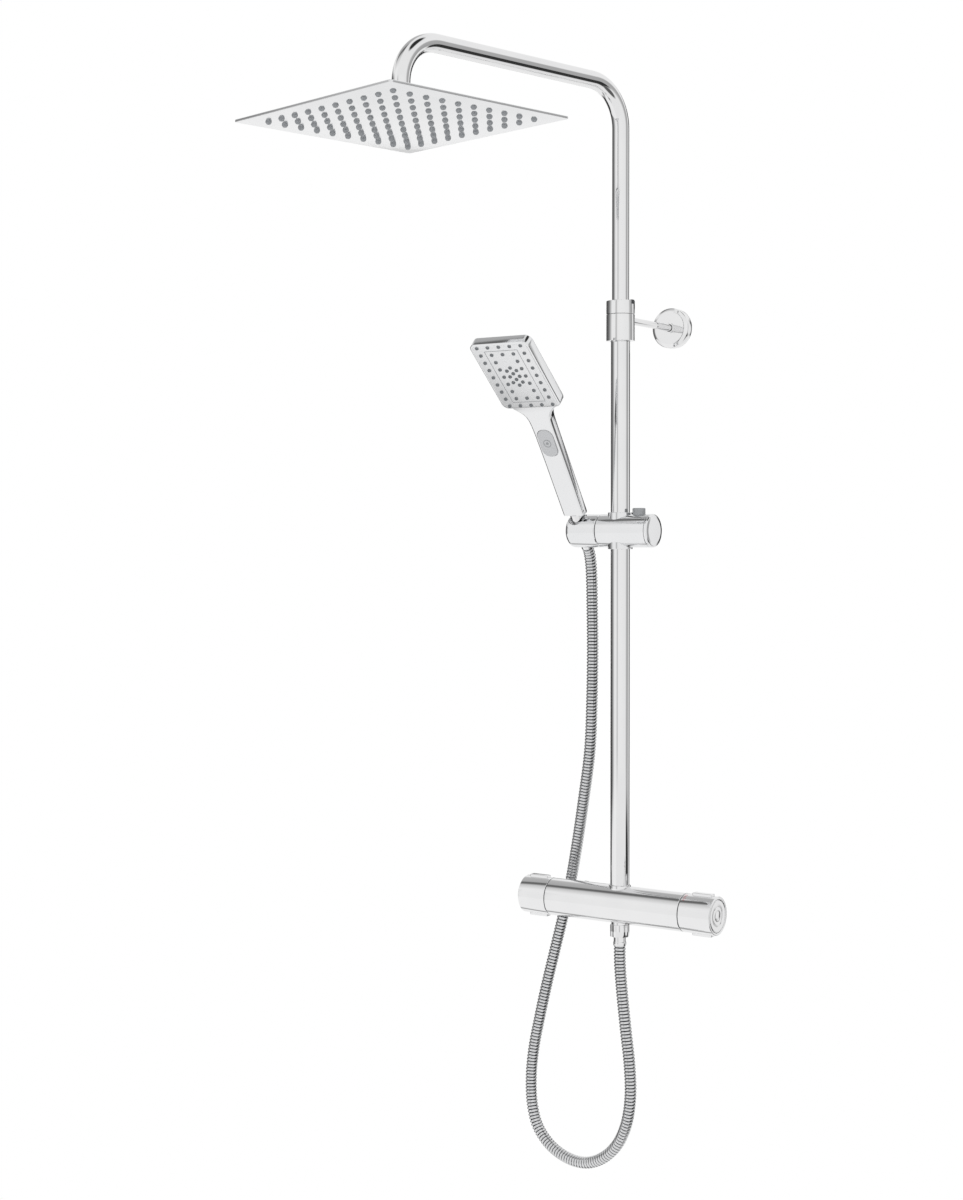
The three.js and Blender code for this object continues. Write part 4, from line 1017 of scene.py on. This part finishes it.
# ------------------------------------------------------------------------------------ riser and bracket
@dataclass
class Riser:
    """The riser tube, the collar with its lock ring, and the stay to the wall."""

    radius: float = 11.25
    bore: float = 10.4
    collar_radius: float = 16.75
    arm_radius: float = 10.0
    seat_depth: float = 5.5
    tab: tuple[float, float, float] = (6.0, 7.0, 4.3)
    stay_radius: float = 4.2
    cover_radius: float = 24.4
    cover_wall: float = 2.2

    def __post_init__(self) -> None:
        """Reads the riser's axis and heights from the frame."""
        self.centre = Vector((0, middle("riser_tube").y, 0))

    def tube(self) -> None:
        """The long tube."""
        bottom, top = low("riser_tube").z, high("riser_tube").z
        tube = lathe(drum(self.bore, self.radius, bottom, top), BARREL_SIDES, 0.2).moved(*self.centre)
        add_piece(tube, "riser_pipe", CHROME, COLUMN, "chrome", "riser_tube")

    def collar(self) -> None:
        """The collar round the riser's top, its lock ring and the ring's dark tab."""
        bottom, top = low("bracket_collar").z, high("bracket_collar").z
        inner, outer, neck = self.radius + 0.3, self.collar_radius, self.arm_radius + 0.4
        sleeve = lathe(drum(inner, outer, bottom, top), ROUND_SIDES, 0.8).moved(*self.centre)
        add_piece(sleeve, "collar_sleeve", CHROME, COLUMN, "chrome", "bracket_collar")
        bottom, top = low("lock_ring").z, high("lock_ring").z
        shelf = top - self.seat_depth
        profile = [(inner, bottom), (outer, bottom), (outer, top), (neck, top), (neck, shelf), (inner, shelf)]
        ring = lathe(profile, ROUND_SIDES, 0.7).moved(*self.centre)
        add_piece(ring, "lock_sleeve", CHROME, "lock_collar", "chrome", "lock_ring")
        width, depth, height = self.tab
        tab = slab(depth, width, 1.0, (top - height, top + 0.6), 0.5)
        place = self.centre + Vector((outer + 0.6 - depth / 2, 0, 0))
        add_piece(tab.moved(*place), "lock_catch", DARK_PLASTIC_AND_SEAM_SHADE, "lock_collar", "dark_plastic", "lock_tab")

    def stay(self) -> None:
        """The rod to the wall and the round cover over its plate."""
        centre = middle("bracket_rod")
        centre.y = 0
        place = along_y(centre)
        start, end = low("bracket_rod").y, high("bracket_rod").y
        rod = lathe(drum(0, self.stay_radius, start, end), SMALL_SIDES, 0.3).placed(place)
        add_piece(rod, "stay_rod", CHROME, COLUMN, "chrome", "bracket_rod")
        front, back = low("wall_flange").y, high("wall_flange").y
        outer, inner = self.cover_radius, self.cover_radius - self.cover_wall
        bore = self.stay_radius + 0.3
        profile = [
            (bore, front), (inner - 2, front), (outer, front + 2.2), (outer, back), (inner, back),
            (inner, front + 4.2), (bore, front + 2.2),
        ]
        lip = lathe(drum(bore, bore + 1.6, front - 1.2, front + 0.6), SMALL_SIDES, 0.4)
        cover = lathe(profile, ROUND_SIDES, 1.1).joined(lip).placed(place)
        add_piece(cover, "wall_cover_disc", CHROME, "wall_cover", "chrome", "wall_flange")

    def build(self) -> None:
        """Makes the riser's pieces."""
        self.tube()
        self.collar()
        self.stay()


# ------------------------------------------------------------------------------------ arm and rain head
@dataclass
class RainHead:
    """The bent arm and the square rain head on its ball joint."""

    arm_radius: float = 10.0
    arm_bore: float = 8.8
    bend: float = 50.0
    bend_steps: int = 20
    reach: float = 345.0
    side: float = 250.0
    rim: float = 2.6
    field_pitch: float = 22.0
    columns: int = 10
    crown: float = 60.0
    ball_radius: float = 9.5
    ball_bore: float = 3.5
    nut_radius: float = 16.0

    def __post_init__(self) -> None:
        """Reads the arm's turn and heights from the frame."""
        column = middle("riser_tube")
        tip = middle("swivel_ball")
        away = Vector((tip.x - column.x, tip.y - column.y, 0))
        self.turn = atan2(away.x, -away.y)
        self.place = Matrix.Translation((0, column.y, 0)) @ Matrix.Rotation(self.turn, 4, "Z")
        self.head_place = self.place @ Matrix.Translation((0, -self.reach, 0))
        self.level = high("arm_tube").z - self.arm_radius
        self.foot, self.tip = low("arm_tube").z, self.level - self.bend - 5
        self.bottom = low("head_face_plate").z

    def arm(self) -> None:
        """The tube from inside the riser, over two bends and down to the head."""
        shoulder = self.level - self.bend
        turns = [pi / 2 * k / self.bend_steps for k in range(self.bend_steps + 1)]
        path = [Vector((0, 0, self.foot)), Vector((0, 0, (self.foot + shoulder) / 2))]
        for t in turns:
            path.append(Vector((0, -self.bend * (1 - cos(t)), shoulder + self.bend * sin(t))))
        for t in turns:
            path.append(Vector((0, -self.reach + self.bend * (1 - sin(t)), shoulder + self.bend * cos(t))))
        path.append(Vector((0, -self.reach, self.tip)))
        tube = swept(path, self.arm_radius, self.arm_bore, 64).placed(self.place)
        add_piece(tube, "bent_arm", CHROME, "arm", "chrome", "arm_tube")

    def joint(self) -> None:
        """The ball on the arm's end and the nut that holds it."""
        bore, ball, arm, tip = self.ball_bore, self.ball_radius, self.arm_radius, self.tip
        centre = tip - ball - 4.5
        arc = [(ball * cos(radians(a)), centre + ball * sin(radians(a))) for a in range(-68, 54, 8)]
        end = tip - 0.1
        profile = [(bore, arc[0][1]), *arc, (5.5, tip - 2), (arm, tip - 2), (arm, end), (bore, end)]
        stub = lathe(profile, SMALL_SIDES).placed(self.head_place)
        add_piece(stub, "ball_stub", CHROME, "arm", "chrome", "swivel_ball")
        foot, top = low("head_nut").z, high("head_nut").z
        nut = lobed(self.nut_radius, 0.6, 10, (foot, top), 1.2).placed(self.head_place).mesh("ball_nut")
        profile = [
            (0, foot - 1), (13.2, foot - 1), (13.2, foot + 7), (8.2, foot + 14.2), (8.2, top + 1),
            (0, top + 1),
        ]
        carved(nut, lathe(profile, SMALL_SIDES).placed(self.head_place))
        finish_piece(nut, CHROME, "rain_head", ["head_nut"])

    def plate(self) -> None:
        """The thin face with its turned-up rim, and the low pyramid on top with the boss."""
        face = slab(self.side, self.side, 3.4, (self.bottom, self.bottom + self.rim), 0.5)
        placed = face.placed(self.head_place)
        add_piece(placed, "rain_face", STEEL, "rain_head", "polished_steel", "head_face_plate")
        top, inner = low("head_nut").z - 1.3, self.side - 6
        levels = (
            (inner, self.bottom + 1.6, 2), (inner, self.bottom + 3.0, 2), (inner - 1, self.bottom + 3.4, 2),
            (self.crown + 10, top - 0.5, 8), (self.crown, top, 8), (self.crown - 6, top + 0.2, 8),
        )
        rings = []
        for width, height, corner in levels:
            rings.append([(x, y, height) for x, y in rounded_outline(width, width, corner, 4)])
        seat = low("head_nut").z + 6
        profile = [(6, top - 2), (13, top - 2), (13, seat), (11.1, seat), (11.1, top + 1), (6, top + 1)]
        shell = loft(rings).joined(lathe(profile, SMALL_SIDES, 0.4)).placed(self.head_place)
        add_piece(shell, "rain_top", STEEL, "rain_head", "polished_steel", "head_top_shell")

    def nozzles(self) -> None:
        """A square field of rubber nozzles, each a short cone with a hole in its tip."""
        profile = [(0, 0.6), (3.5, 0.6), (3.3, -0.7), (2.1, -2.6), (1.0, -2.6), (0.8, -1.4), (0, -1.4)]
        turned = lathe(profile, NOZZLE_SIDES).placed(Matrix.Rotation(self.turn, 4, "Z"))
        half = (self.columns - 1) / 2
        places = []
        for i in range(self.columns):
            for j in range(self.columns):
                local = Vector(((i - half) * self.field_pitch, (j - half) * self.field_pitch, self.bottom))
                places.append((self.head_place @ local) * MM)
        seeds = point_seeds("rain_points", places)
        dots = repeated("rain_nozzles", seeds, turned, PALE_SILICONE, Layout.POINTS)
        finish_piece(dots, PALE_SILICONE, "rain_head", ["head_nozzle_mat"])

    def build(self) -> None:
        """Makes the arm's and the head's pieces."""
        self.arm()
        self.joint()
        self.plate()
        self.nozzles()


# ------------------------------------------------------------------------------------ slider
@dataclass
class Slider:
    """The slider on the riser, its button and the holder with its conical socket."""

    radius: float = 19.5
    edge: float = 0.5
    bore: float = 11.6
    bush_radius: float = 14.5
    bush_half: float = 21.5
    button_radius: float = 7.5
    well_radius: float = 7.8
    tilt: float = radians(34)
    socket_x: float = -52.0
    cone: tuple[float, float] = (10.2, 0.046)
    joint: float = 0.6

    def __post_init__(self) -> None:
        """Reads the slider's centre from the frame."""
        self.centre = Vector((0, middle("slider_body").y, middle("slider_body").z))
        self.left, self.right = low("slider_body").x, high("slider_body").x

    def barrel(self) -> None:
        """The slider's barrel and the two bush collars round the riser."""
        place = along_x(self.centre)
        left = self.left + self.joint
        body = lathe(drum(0, self.radius, left, self.right), BARREL_SIDES, self.edge)
        # A dark ring of painted shade, standing in for the shaded gap between the slider and the holder.
        painted_seam = lathe(drum(6, self.radius - SEAM_SHADE_INSET, self.left, left), ROUND_SIDES).placed(place)
        add_piece(painted_seam, "holder_slip_ring", DARK_PLASTIC_AND_SEAM_SHADE, "slider", "dark_plastic")
        barrel = body.placed(place).mesh("slider_barrel")
        carved(barrel, lathe(drum(0, self.bore, -40, 40), ROUND_SIDES).moved(*self.centre))
        well_centre = Vector((middle("release_button").x, self.centre.y, self.centre.z))
        well = lathe(drum(0, self.well_radius, 6, 30), SMALL_SIDES).moved(*well_centre)
        finish_piece(carved(barrel, well), PLATED_PLASTIC, "slider", ["slider_body"])
        rim = lathe(drum(self.bore, self.bush_radius, 8, self.bush_half), ROUND_SIDES, 0.6)
        for name, turn in (("upper", 0), ("lower", pi)):
            flip = Matrix.Translation(self.centre) @ Matrix.Rotation(turn, 4, "X")
            node = f"slider_bush_{name}"
            add_piece(rim.placed(flip), f"bush_collar_{name}", PLATED_PLASTIC, "slider", "chrome", node)

    def cap(self) -> None:
        """The slightly domed cap on the slider's right end."""
        start, end, radius = self.right + 0.3, high("slider_end_cap").x, self.radius
        dome = [
            (0, start - 4), (14, start - 4), (14, start), (radius, start), (radius, end - 2.2),
            (radius - 1.2, end - 0.7), (radius - 5, end - 0.15), (0, end),
        ]
        cap = lathe(dome, ROUND_SIDES, 0.5).placed(along_x(self.centre))
        add_piece(cap, "slider_cap", PLATED_PLASTIC, "slider", "chrome", "slider_end_cap")

    def button(self) -> None:
        """The grey release button."""
        foot, top = low("release_button").z, high("release_button").z
        button = lathe(drum(0, self.button_radius, foot, top), SMALL_SIDES, 1.2)
        placed = button.moved(middle("release_button").x, self.centre.y, 0)
        add_piece(placed, "release_push_button", GREY_PLASTIC, "slider_button", "chrome", "release_button")

    def holder(self) -> None:
        """The holder's barrel with a conical hole leaning away from the wall."""
        left, right = low("handset_holder").x, high("handset_holder").x
        profile = [
            (0, right), (self.radius, right), (self.radius, left + 5), (self.radius - 2, left + 1.6),
            (self.radius - 6, left), (0, left),
        ]
        piece = lathe(profile, BARREL_SIDES, 2.2).placed(along_x(self.centre)).mesh("holder_barrel")
        base, slope = self.cone
        middle_radius, reach = base + 0.4, 30
        narrow, wide = middle_radius - reach * slope, middle_radius + reach * slope
        hole = lathe([(0, -reach), (narrow, -reach), (wide, reach), (0, reach)], ROUND_SIDES)
        spot = Matrix.Translation(self.centre + Vector((self.socket_x, 0, 0)))
        carved(piece, hole.placed(spot @ Matrix.Rotation(self.tilt, 4, "X")))
        finish_piece(piece, PLATED_PLASTIC, "holder", ["handset_holder"])

    def build(self) -> None:
        """Makes the slider's pieces."""
        self.barrel()
        self.cap()
        self.button()
        self.holder()


# ------------------------------------------------------------------------------------ handset
@dataclass
class Handset:
    """The handset in its socket's frame: local +Z runs up the handle, local -Y is the spray side."""

    tilt: float = radians(34)
    socket_x: float = -52.0
    base: float = 25.0
    width: float = 78.0
    length: float = 101.0
    depth: float = 12.6
    corner: float = 8.0
    lean: float = radians(14.2)
    foot: tuple[float, float] = (-6.2, 178.5)
    button_z: float = 127.0
    button: tuple[float, float, float] = (21.0, 36.0, 8.3)
    pitch: tuple[float, float] = (14.5, 11.4)
    inner_pitch: float = 9.0
    bead: float = 0.6
    handle_rings: tuple[tuple[float, ...], ...] = (
        (25.0, 26.0, 9.4, -0.8, 0.0), (25.6, 28.2, 10.9, -0.8, 0.0), (27.0, 29.0, 11.4, -0.8, 0.0),
        (60.0, 29.0, 11.5, -0.9, 0.0), (100.0, 29.0, 11.8, -1.1, 0.0), (135.0, 29.4, 12.2, -1.5, 1.0),
        (150.0, 30.2, 12.4, -2.0, 2.5), (158.0, 31.4, 12.4, -2.6, 4.5), (164.0, 34.4, 12.4, -3.3, 7.0),
        (169.0, 40.5, 12.3, -4.0, 9.5), (173.0, 48.5, 12.2, -4.7, 11.5), (177.0, 58.0, 12.0, -5.6, 13.0),
        (181.0, 64.0, 11.8, -6.6, 14.2),
    )

    def __post_init__(self) -> None:
        """Reads the socket's centre from the frame."""
        centre = Vector((self.socket_x, middle("slider_body").y, middle("slider_body").z))
        self.place = Matrix.Translation(centre) @ Matrix.Rotation(self.tilt, 4, "X")
        up = self.length / 2
        y, z = self.foot
        self.face_place = (
            self.place
            @ Matrix.Translation((0, y - up * sin(self.lean), z + up * cos(self.lean)))
            @ Matrix.Rotation(pi / 2 + self.lean, 4, "X")
        )

    def shell(self) -> None:
        """The handle, which flares into the flat head, with a well for the spray button."""
        rings = []
        for z, width, depth, y, lean in self.handle_rings:
            c, s = cos(radians(lean)), sin(radians(lean))
            outline = rounded_outline(width, depth, 3.4, 6)
            rings.append([(px, y + py * c, z + py * s) for px, py in outline])
        handle = loft(rings).placed(self.place)
        head = slab(self.width, self.length, self.corner, (-self.depth / 2, self.depth / 2), 1.3)
        piece = handle.joined(head.placed(self.face_place)).mesh("handset_body")
        width, length, face = self.button
        upright = self.place @ Matrix.Translation((0, 0, self.button_z)) @ Matrix.Rotation(pi / 2, 4, "X")
        well = slab(width + 0.6, length + 0.6, width / 2.2, (face - 4.2, face + 6), 0.1)
        carved(piece, well.placed(upright))
        finish_piece(piece, PLATED_PLASTIC, "handset", ["handset_shell"])
        oval = slab(width, length, width / 2.2, (face - 2.4, face + 0.25), 0.8).placed(upright)
        add_piece(oval, "spray_push_button", PALE_BUTTON, "spray_button", "chromed_plastic", "mode_button")
        mark = lathe(drum(4.2, 5.0, face + 0.2, face + 0.45), SMALL_SIDES, 0.1)
        dot = lathe(drum(0, 1.7, face + 0.2, face + 0.45), SMALL_SIDES, 0.1)
        ring = mark.joined(dot).placed(upright)
        add_piece(ring, "spray_button_ring", GREY_PLASTIC, "spray_button", "chromed_plastic")

    def panel(self) -> None:
        """The spray panel, its thin inlaid frame and the nozzles."""
        front, body = self.depth / 2, "handset"
        size = (self.width - 5, self.length - 5, self.corner - 2)
        plate = slab(*size, (front - 2, front + 0.35), 0.3).placed(self.face_place)
        add_piece(plate, "spray_panel", SATIN_PANEL, body, "chromed_plastic", "handset_face_plate")
        across, down = self.pitch
        frame_w, frame_l = 3 * across, 7 * down
        upright = slab(self.bead, frame_l, 0.2, (front, front + 0.5), 0.1)
        level = slab(frame_w, self.bead, 0.2, (front, front + 0.5), 0.1)
        bars = [upright.moved(side * frame_w / 2, 0, 0) for side in (-1, 1)]
        bars += [level.moved(0, side * frame_l / 2, 0) for side in (-1, 1)]
        inlay = bars[0].joined(*bars[1:]).placed(self.face_place)
        add_piece(inlay, "panel_inlay", GREY_PLASTIC, body, "chromed_plastic")
        spots = [(i, j) for i in range(-2, 3) for j in range(-4, 5) if abs(i) == 2 or abs(j) == 4]
        spots += [(i, j) for i in range(-1, 2) for j in range(-3, 4) if abs(i) == 1 or abs(j) == 3]
        places = [(i * across, j * down) for i, j in spots]
        places += [(0, (k - 1.5) * self.inner_pitch) for k in range(4)]
        places += [(side * 6.4, k * self.inner_pitch) for side in (-1, 1) for k in (-1, 0, 1)]
        profile = [(0, 0), (2.35, 0), (2.2, 0.9), (1.5, 1.7), (0.7, 1.7), (0.5, 1.1), (0, 1.1)]
        turned = lathe(profile, NOZZLE_SIDES).placed(self.face_place.to_3x3().to_4x4())
        spread = [(self.face_place @ Vector((x, y, front))) * MM for x, y in places]
        seeds = point_seeds("handset_points", spread)
        dots = repeated("handset_nozzles", seeds, turned, SILICONE, Layout.POINTS)
        finish_piece(dots, SILICONE, body, ["handset_nozzle_mat"])

    def neck(self) -> None:
        """The threaded neck, the cone nut on it and the ferrule that holds the hose."""
        top = self.base + 0.6
        neck = [(4.5, -0.8), (8.6, -0.8), (8.6, 13), (7.6, 14), (7.6, top), (4.5, top)]
        cone = [(8.9, 12), (8.9, -5.7), (7.8, -5.7), (7.8, -14), (9.6, -14), (10.8, 12)]
        ferrule = [(4.5, -22), (7.5, -22), (7.5, -5.6), (8.5, -5.6), (8.5, -3.4), (4.5, -3.4)]
        for profile, edge, name, body, node in (
            (neck, 0.4, "threaded_neck", "handset", "handset_connector"),
            (cone, 0.5, "cone_nut", "hose_end", "hose_cone_nut"),
            (ferrule, 0.3, "ferrule_at_handset", "hose_end", "hose_ferrule_upper"),
        ):
            shape = lathe(profile, ROUND_SIDES, edge).placed(self.place)
            add_piece(shape, name, CHROME, body, "chrome", node)


# ------------------------------------------------------------------------------------ studio
@dataclass
class Studio:
    """The camera, the pale floor and the soft light."""

    camera_place: Point = (1.15866, -2.07010, 0.42568)
    turn: float = 0.623
    dip: float = radians(0.699)
    lens: float = 59.25
    sensor: float = 36.0
    shift: tuple[float, float] = (0.0533, -0.0281)
    key_size: tuple[float, float] = (2.4, 1.6)
    key_power: float = 24.0
    key_place: Point = (1.5, -2.2, 2.6)
    key_turn: Point = (radians(50), 0, radians(34))
    floor_z: float = -0.9
    floor_half: float = 14.0
    base_light: float = 0.93
    arm_turn: float = radians(12)

    def camera(self) -> None:
        """A camera square to the column's height, a little right of it."""
        data = bpy.data.cameras.new("camera")
        data.lens = self.lens
        data.sensor_width = self.sensor
        data.shift_x, data.shift_y = self.shift
        made = bpy.data.objects.new("camera", data)
        made.location = self.camera_place
        made.rotation_euler = (pi / 2 - self.dip, 0, self.turn)
        bpy.context.scene.collection.objects.link(made)
        bpy.context.scene.camera = made

    def key_light(self) -> None:
        """A large soft light above the camera that shapes the dull pieces and isn't mirrored."""
        data = bpy.data.lights.new("key_light", "AREA")
        data.shape = "RECTANGLE"
        data.size, data.size_y = self.key_size
        data.energy = self.key_power
        made = bpy.data.objects.new("key_light", data)
        made.location = self.key_place
        made.rotation_euler = self.key_turn
        made.visible_glossy = False
        bpy.context.scene.collection.objects.link(made)

    def floor(self) -> None:
        """A pale floor far below the column, which the polished pieces look straight through."""
        data = bpy.data.meshes.new("floor")
        half = self.floor_half
        corners = [(-half, -half), (half, -half), (half, half), (-half, half)]
        data.from_pydata([(x, y, self.floor_z) for x, y in corners], [], [(0, 1, 2, 3)])
        made = bpy.data.objects.new("floor", data)
        bpy.context.scene.collection.objects.link(made)
        pale = bpy.data.materials.new("pale_floor")
        pale.use_nodes = True
        tree = pale.node_tree
        tree.nodes.clear()
        rays = add_node(tree, "ShaderNodeLightPath", {}, {})
        white = {"Color": linear("#ffffff"), "Strength": 1.0}
        lit = add_node(tree, "ShaderNodeEmission", {"inputs": white}, {})
        clear = add_node(tree, "ShaderNodeBsdfTransparent", {}, {})
        mix = add_node(
            tree,
            "ShaderNodeMixShader",
            {},
            {0: rays.outputs["Is Glossy Ray"], 1: lit.outputs[0], 2: clear.outputs[0]},
        )
        add_node(tree, "ShaderNodeOutputMaterial", {}, {"Surface": mix.outputs[0]})
        data.materials.append(pale)

    def band(
        self,
        tree: bpy.types.NodeTree,
        below: bpy.types.NodeSocket,
        axis: Point,
        start: Point,
        reach: tuple[float, float, float, float],
        stops: Sequence[tuple[float, float]],
    ) -> bpy.types.NodeSocket:
        """Lays a band of light and dark round an axis over the surround.

        Args:
            tree: The world's node tree.
            below: The light that it is laid over.
            axis: The axis, as a unit vector.
            start: The direction of its zero angle, square to the axis.
            reach: Share along the axis where the band fades in, is full, is full and fades out.
            stops: Angle in degrees from -180 to 180 and brightness.

        Returns:
            The light with the band over it.
        """
        toward = add_node(tree, "ShaderNodeTexCoord", {}, {}).outputs["Generated"]
        side = tuple(Vector(axis).cross(Vector(start)))
        along, first, second = [
            add_node(
                tree,
                "ShaderNodeVectorMath",
                {"operation": "DOT_PRODUCT", "inputs": {1: direction}},
                {0: toward},
            ).outputs["Value"]
            for direction in (axis, start, side)
        ]
        angle = add_node(tree, "ShaderNodeMath", {"operation": "ARCTAN2"}, {0: second, 1: first})
        share = add_node(tree, "ShaderNodeMapRange", {"inputs": {1: -pi, 2: pi}}, {0: angle.outputs[0]})
        ramp = add_node(tree, "ShaderNodeValToRGB", {}, {0: share.outputs[0]})
        colours = ramp.color_ramp.elements
        for bearing, _ in stops[1:-1]:
            colours.new((bearing + 180) / 360)
        for element, (bearing, value) in zip(colours, stops):
            element.position = (bearing + 180) / 360
            element.color = (value, value, value, 1)
        rise = add_node(tree, "ShaderNodeMapRange", {"inputs": {1: reach[0], 2: reach[1]}}, {0: along})
        fall = add_node(tree, "ShaderNodeMapRange", {"inputs": {1: reach[3], 2: reach[2]}}, {0: along})
        mask = add_node(
            tree,
            "ShaderNodeMath",
            {"operation": "MULTIPLY"},
            {0: rise.outputs[0], 1: fall.outputs[0]},
        )
        laid = add_node(
            tree,
            "ShaderNodeMix",
            {"data_type": "RGBA"},
            {0: mask.outputs[0], 6: below, 7: ramp.outputs[0]},
        )
        return laid.outputs[2]

    def sky(self) -> None:
        """A white surround with soft dark flags that polished pieces mirror as their dark lines."""
        world = bpy.data.worlds.new("soft_studio")
        bpy.context.scene.world = world
        world.use_nodes = True
        tree = world.node_tree
        tree.nodes.clear()
        light = add_node(tree, "ShaderNodeRGB", {}, {})
        light.outputs[0].default_value = (*[self.base_light] * 3, 1)
        # Round the mixer's and the slider's axis: a dark ceiling edge, and a thin dark line below.
        level = (
            (-180, 1.0), (-90, 1.0), (-82, 0.92), (-78, 0.4), (-70, 0.4), (-66, 1.0), (-12, 0.9),
            (20, 0.7), (60, 0.52), (88, 0.46), (95, 0.14), (104, 0.16), (114, 0.66), (140, 0.96),
            (180, 1.0),
        )
        laid = self.band(tree, light.outputs[0], (1, 0, 0), (0, 1, 0), (-0.85, -0.75, -0.3, -0.2), level)
        # Round the arm's axis: one dark stripe a little below its middle.
        arm = (-sin(self.arm_turn), -cos(self.arm_turn), 0)
        across = (-cos(self.arm_turn), sin(self.arm_turn), 0)
        stripe = (
            (-180, 0.9), (-166, 0.9), (-163, 0.03), (-128, 0.04), (-121, 0.85), (-60, 0.95),
            (20, 0.93), (90, 0.95), (180, 0.97),
        )
        flipped = [(-bearing, value) for bearing, value in reversed(stripe)]
        laid = self.band(tree, laid, arm, across, (-0.95, -0.88, -0.5, -0.4), flipped)
        # Round the riser: its dark outlines, and two faint lines further in.
        upright = (
            (-180, 0.97), (-150, 0.95), (-143, 0.6), (-136, 0.6), (-130, 0.96), (-102, 0.96),
            (-88, 0.55), (-70, 0.2), (-22, 0.02), (-16, 0.97), (13, 0.97), (19, 0.02), (53, 0.02),
            (59, 0.9), (73, 0.97), (79, 0.4), (104, 0.5), (118, 0.93), (180, 0.97),
        )
        ahead = (-sin(self.turn), cos(self.turn), 0)
        mirrored = [(-bearing, value) for bearing, value in reversed(upright)]
        laid = self.band(tree, laid, (0, 0, 1), ahead, (-0.25, -0.2, 0.28, 0.42), mirrored)
        # Small flags: the handset's corner, its handle's left edge, its right edges, far rims.
        flags = (
            ((0.40, 0.0, 0.92), 13, 19, 0.03),
            ((-0.90, 0.22, -0.37), 17, 22, 0.04),
            ((0.74, 0.08, -0.66), 14, 20, 0.12),
            ((-0.55, 0.83, 0.09), 4, 6, 0.2),
        )
        for direction, inner, outer, value in flags:
            toward = Vector(direction).normalized()
            start = toward.orthogonal().normalized()
            reach = (cos(radians(outer)), cos(radians(inner)), 1.1, 1.2)
            even = ((-180, value), (180, value))
            laid = self.band(tree, laid, tuple(toward), tuple(start), reach, even)
        rays = add_node(tree, "ShaderNodeLightPath", {}, {})
        seen = add_node(
            tree,
            "ShaderNodeMix",
            {"data_type": "RGBA", "inputs": {6: (1, 1, 1, 1)}},
            {0: rays.outputs["Is Glossy Ray"], 7: laid},
        )
        full = {"inputs": {"Strength": 1.0}}
        back = add_node(tree, "ShaderNodeBackground", full, {"Color": seen.outputs[2]})
        add_node(tree, "ShaderNodeOutputWorld", {}, {"Surface": back.outputs[0]})

    def build(self) -> None:
        """Sets the camera, the floor and the light."""
        bpy.context.scene.view_settings.view_transform = "Standard"
        self.camera()
        self.key_light()
        self.floor()
        self.sky()


def dress_frame(frame: dict) -> None:
    """Gives every CAD node the finish of its material slot.
    """
    for part in frame["record"]["subparts"]:
        node = frame["nodes"][part["node"]]
        material = SLOT_FINISH[part["material_slot"]].material()
        node.data.materials.clear()
        node.data.materials.append(material)


def press_spring(spring: bpy.types.Object) -> None:
    """Gives the spring its own copy of its mesh.

    Args:
        spring: The spring's CAD node.
    """
    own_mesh(spring)


def main() -> None:
    """Builds the looks in order."""
    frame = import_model()
    dress_frame(frame)
    Studio().build()
    Handset().neck()
    Mixer().outlet()
    Hose().build()
    mixer, handset = Mixer(), Handset()
    mixer.body()
    mixer.joints()
    mixer.inlets()
    mixer.temperature_side()
    mixer.flow_side()
    Riser().build()
    RainHead().build()
    Slider().build()
    handset.shell()
    handset.panel()
    press_spring(frame["nodes"]["button_spring"])


if __name__ == "__main__":
    main()
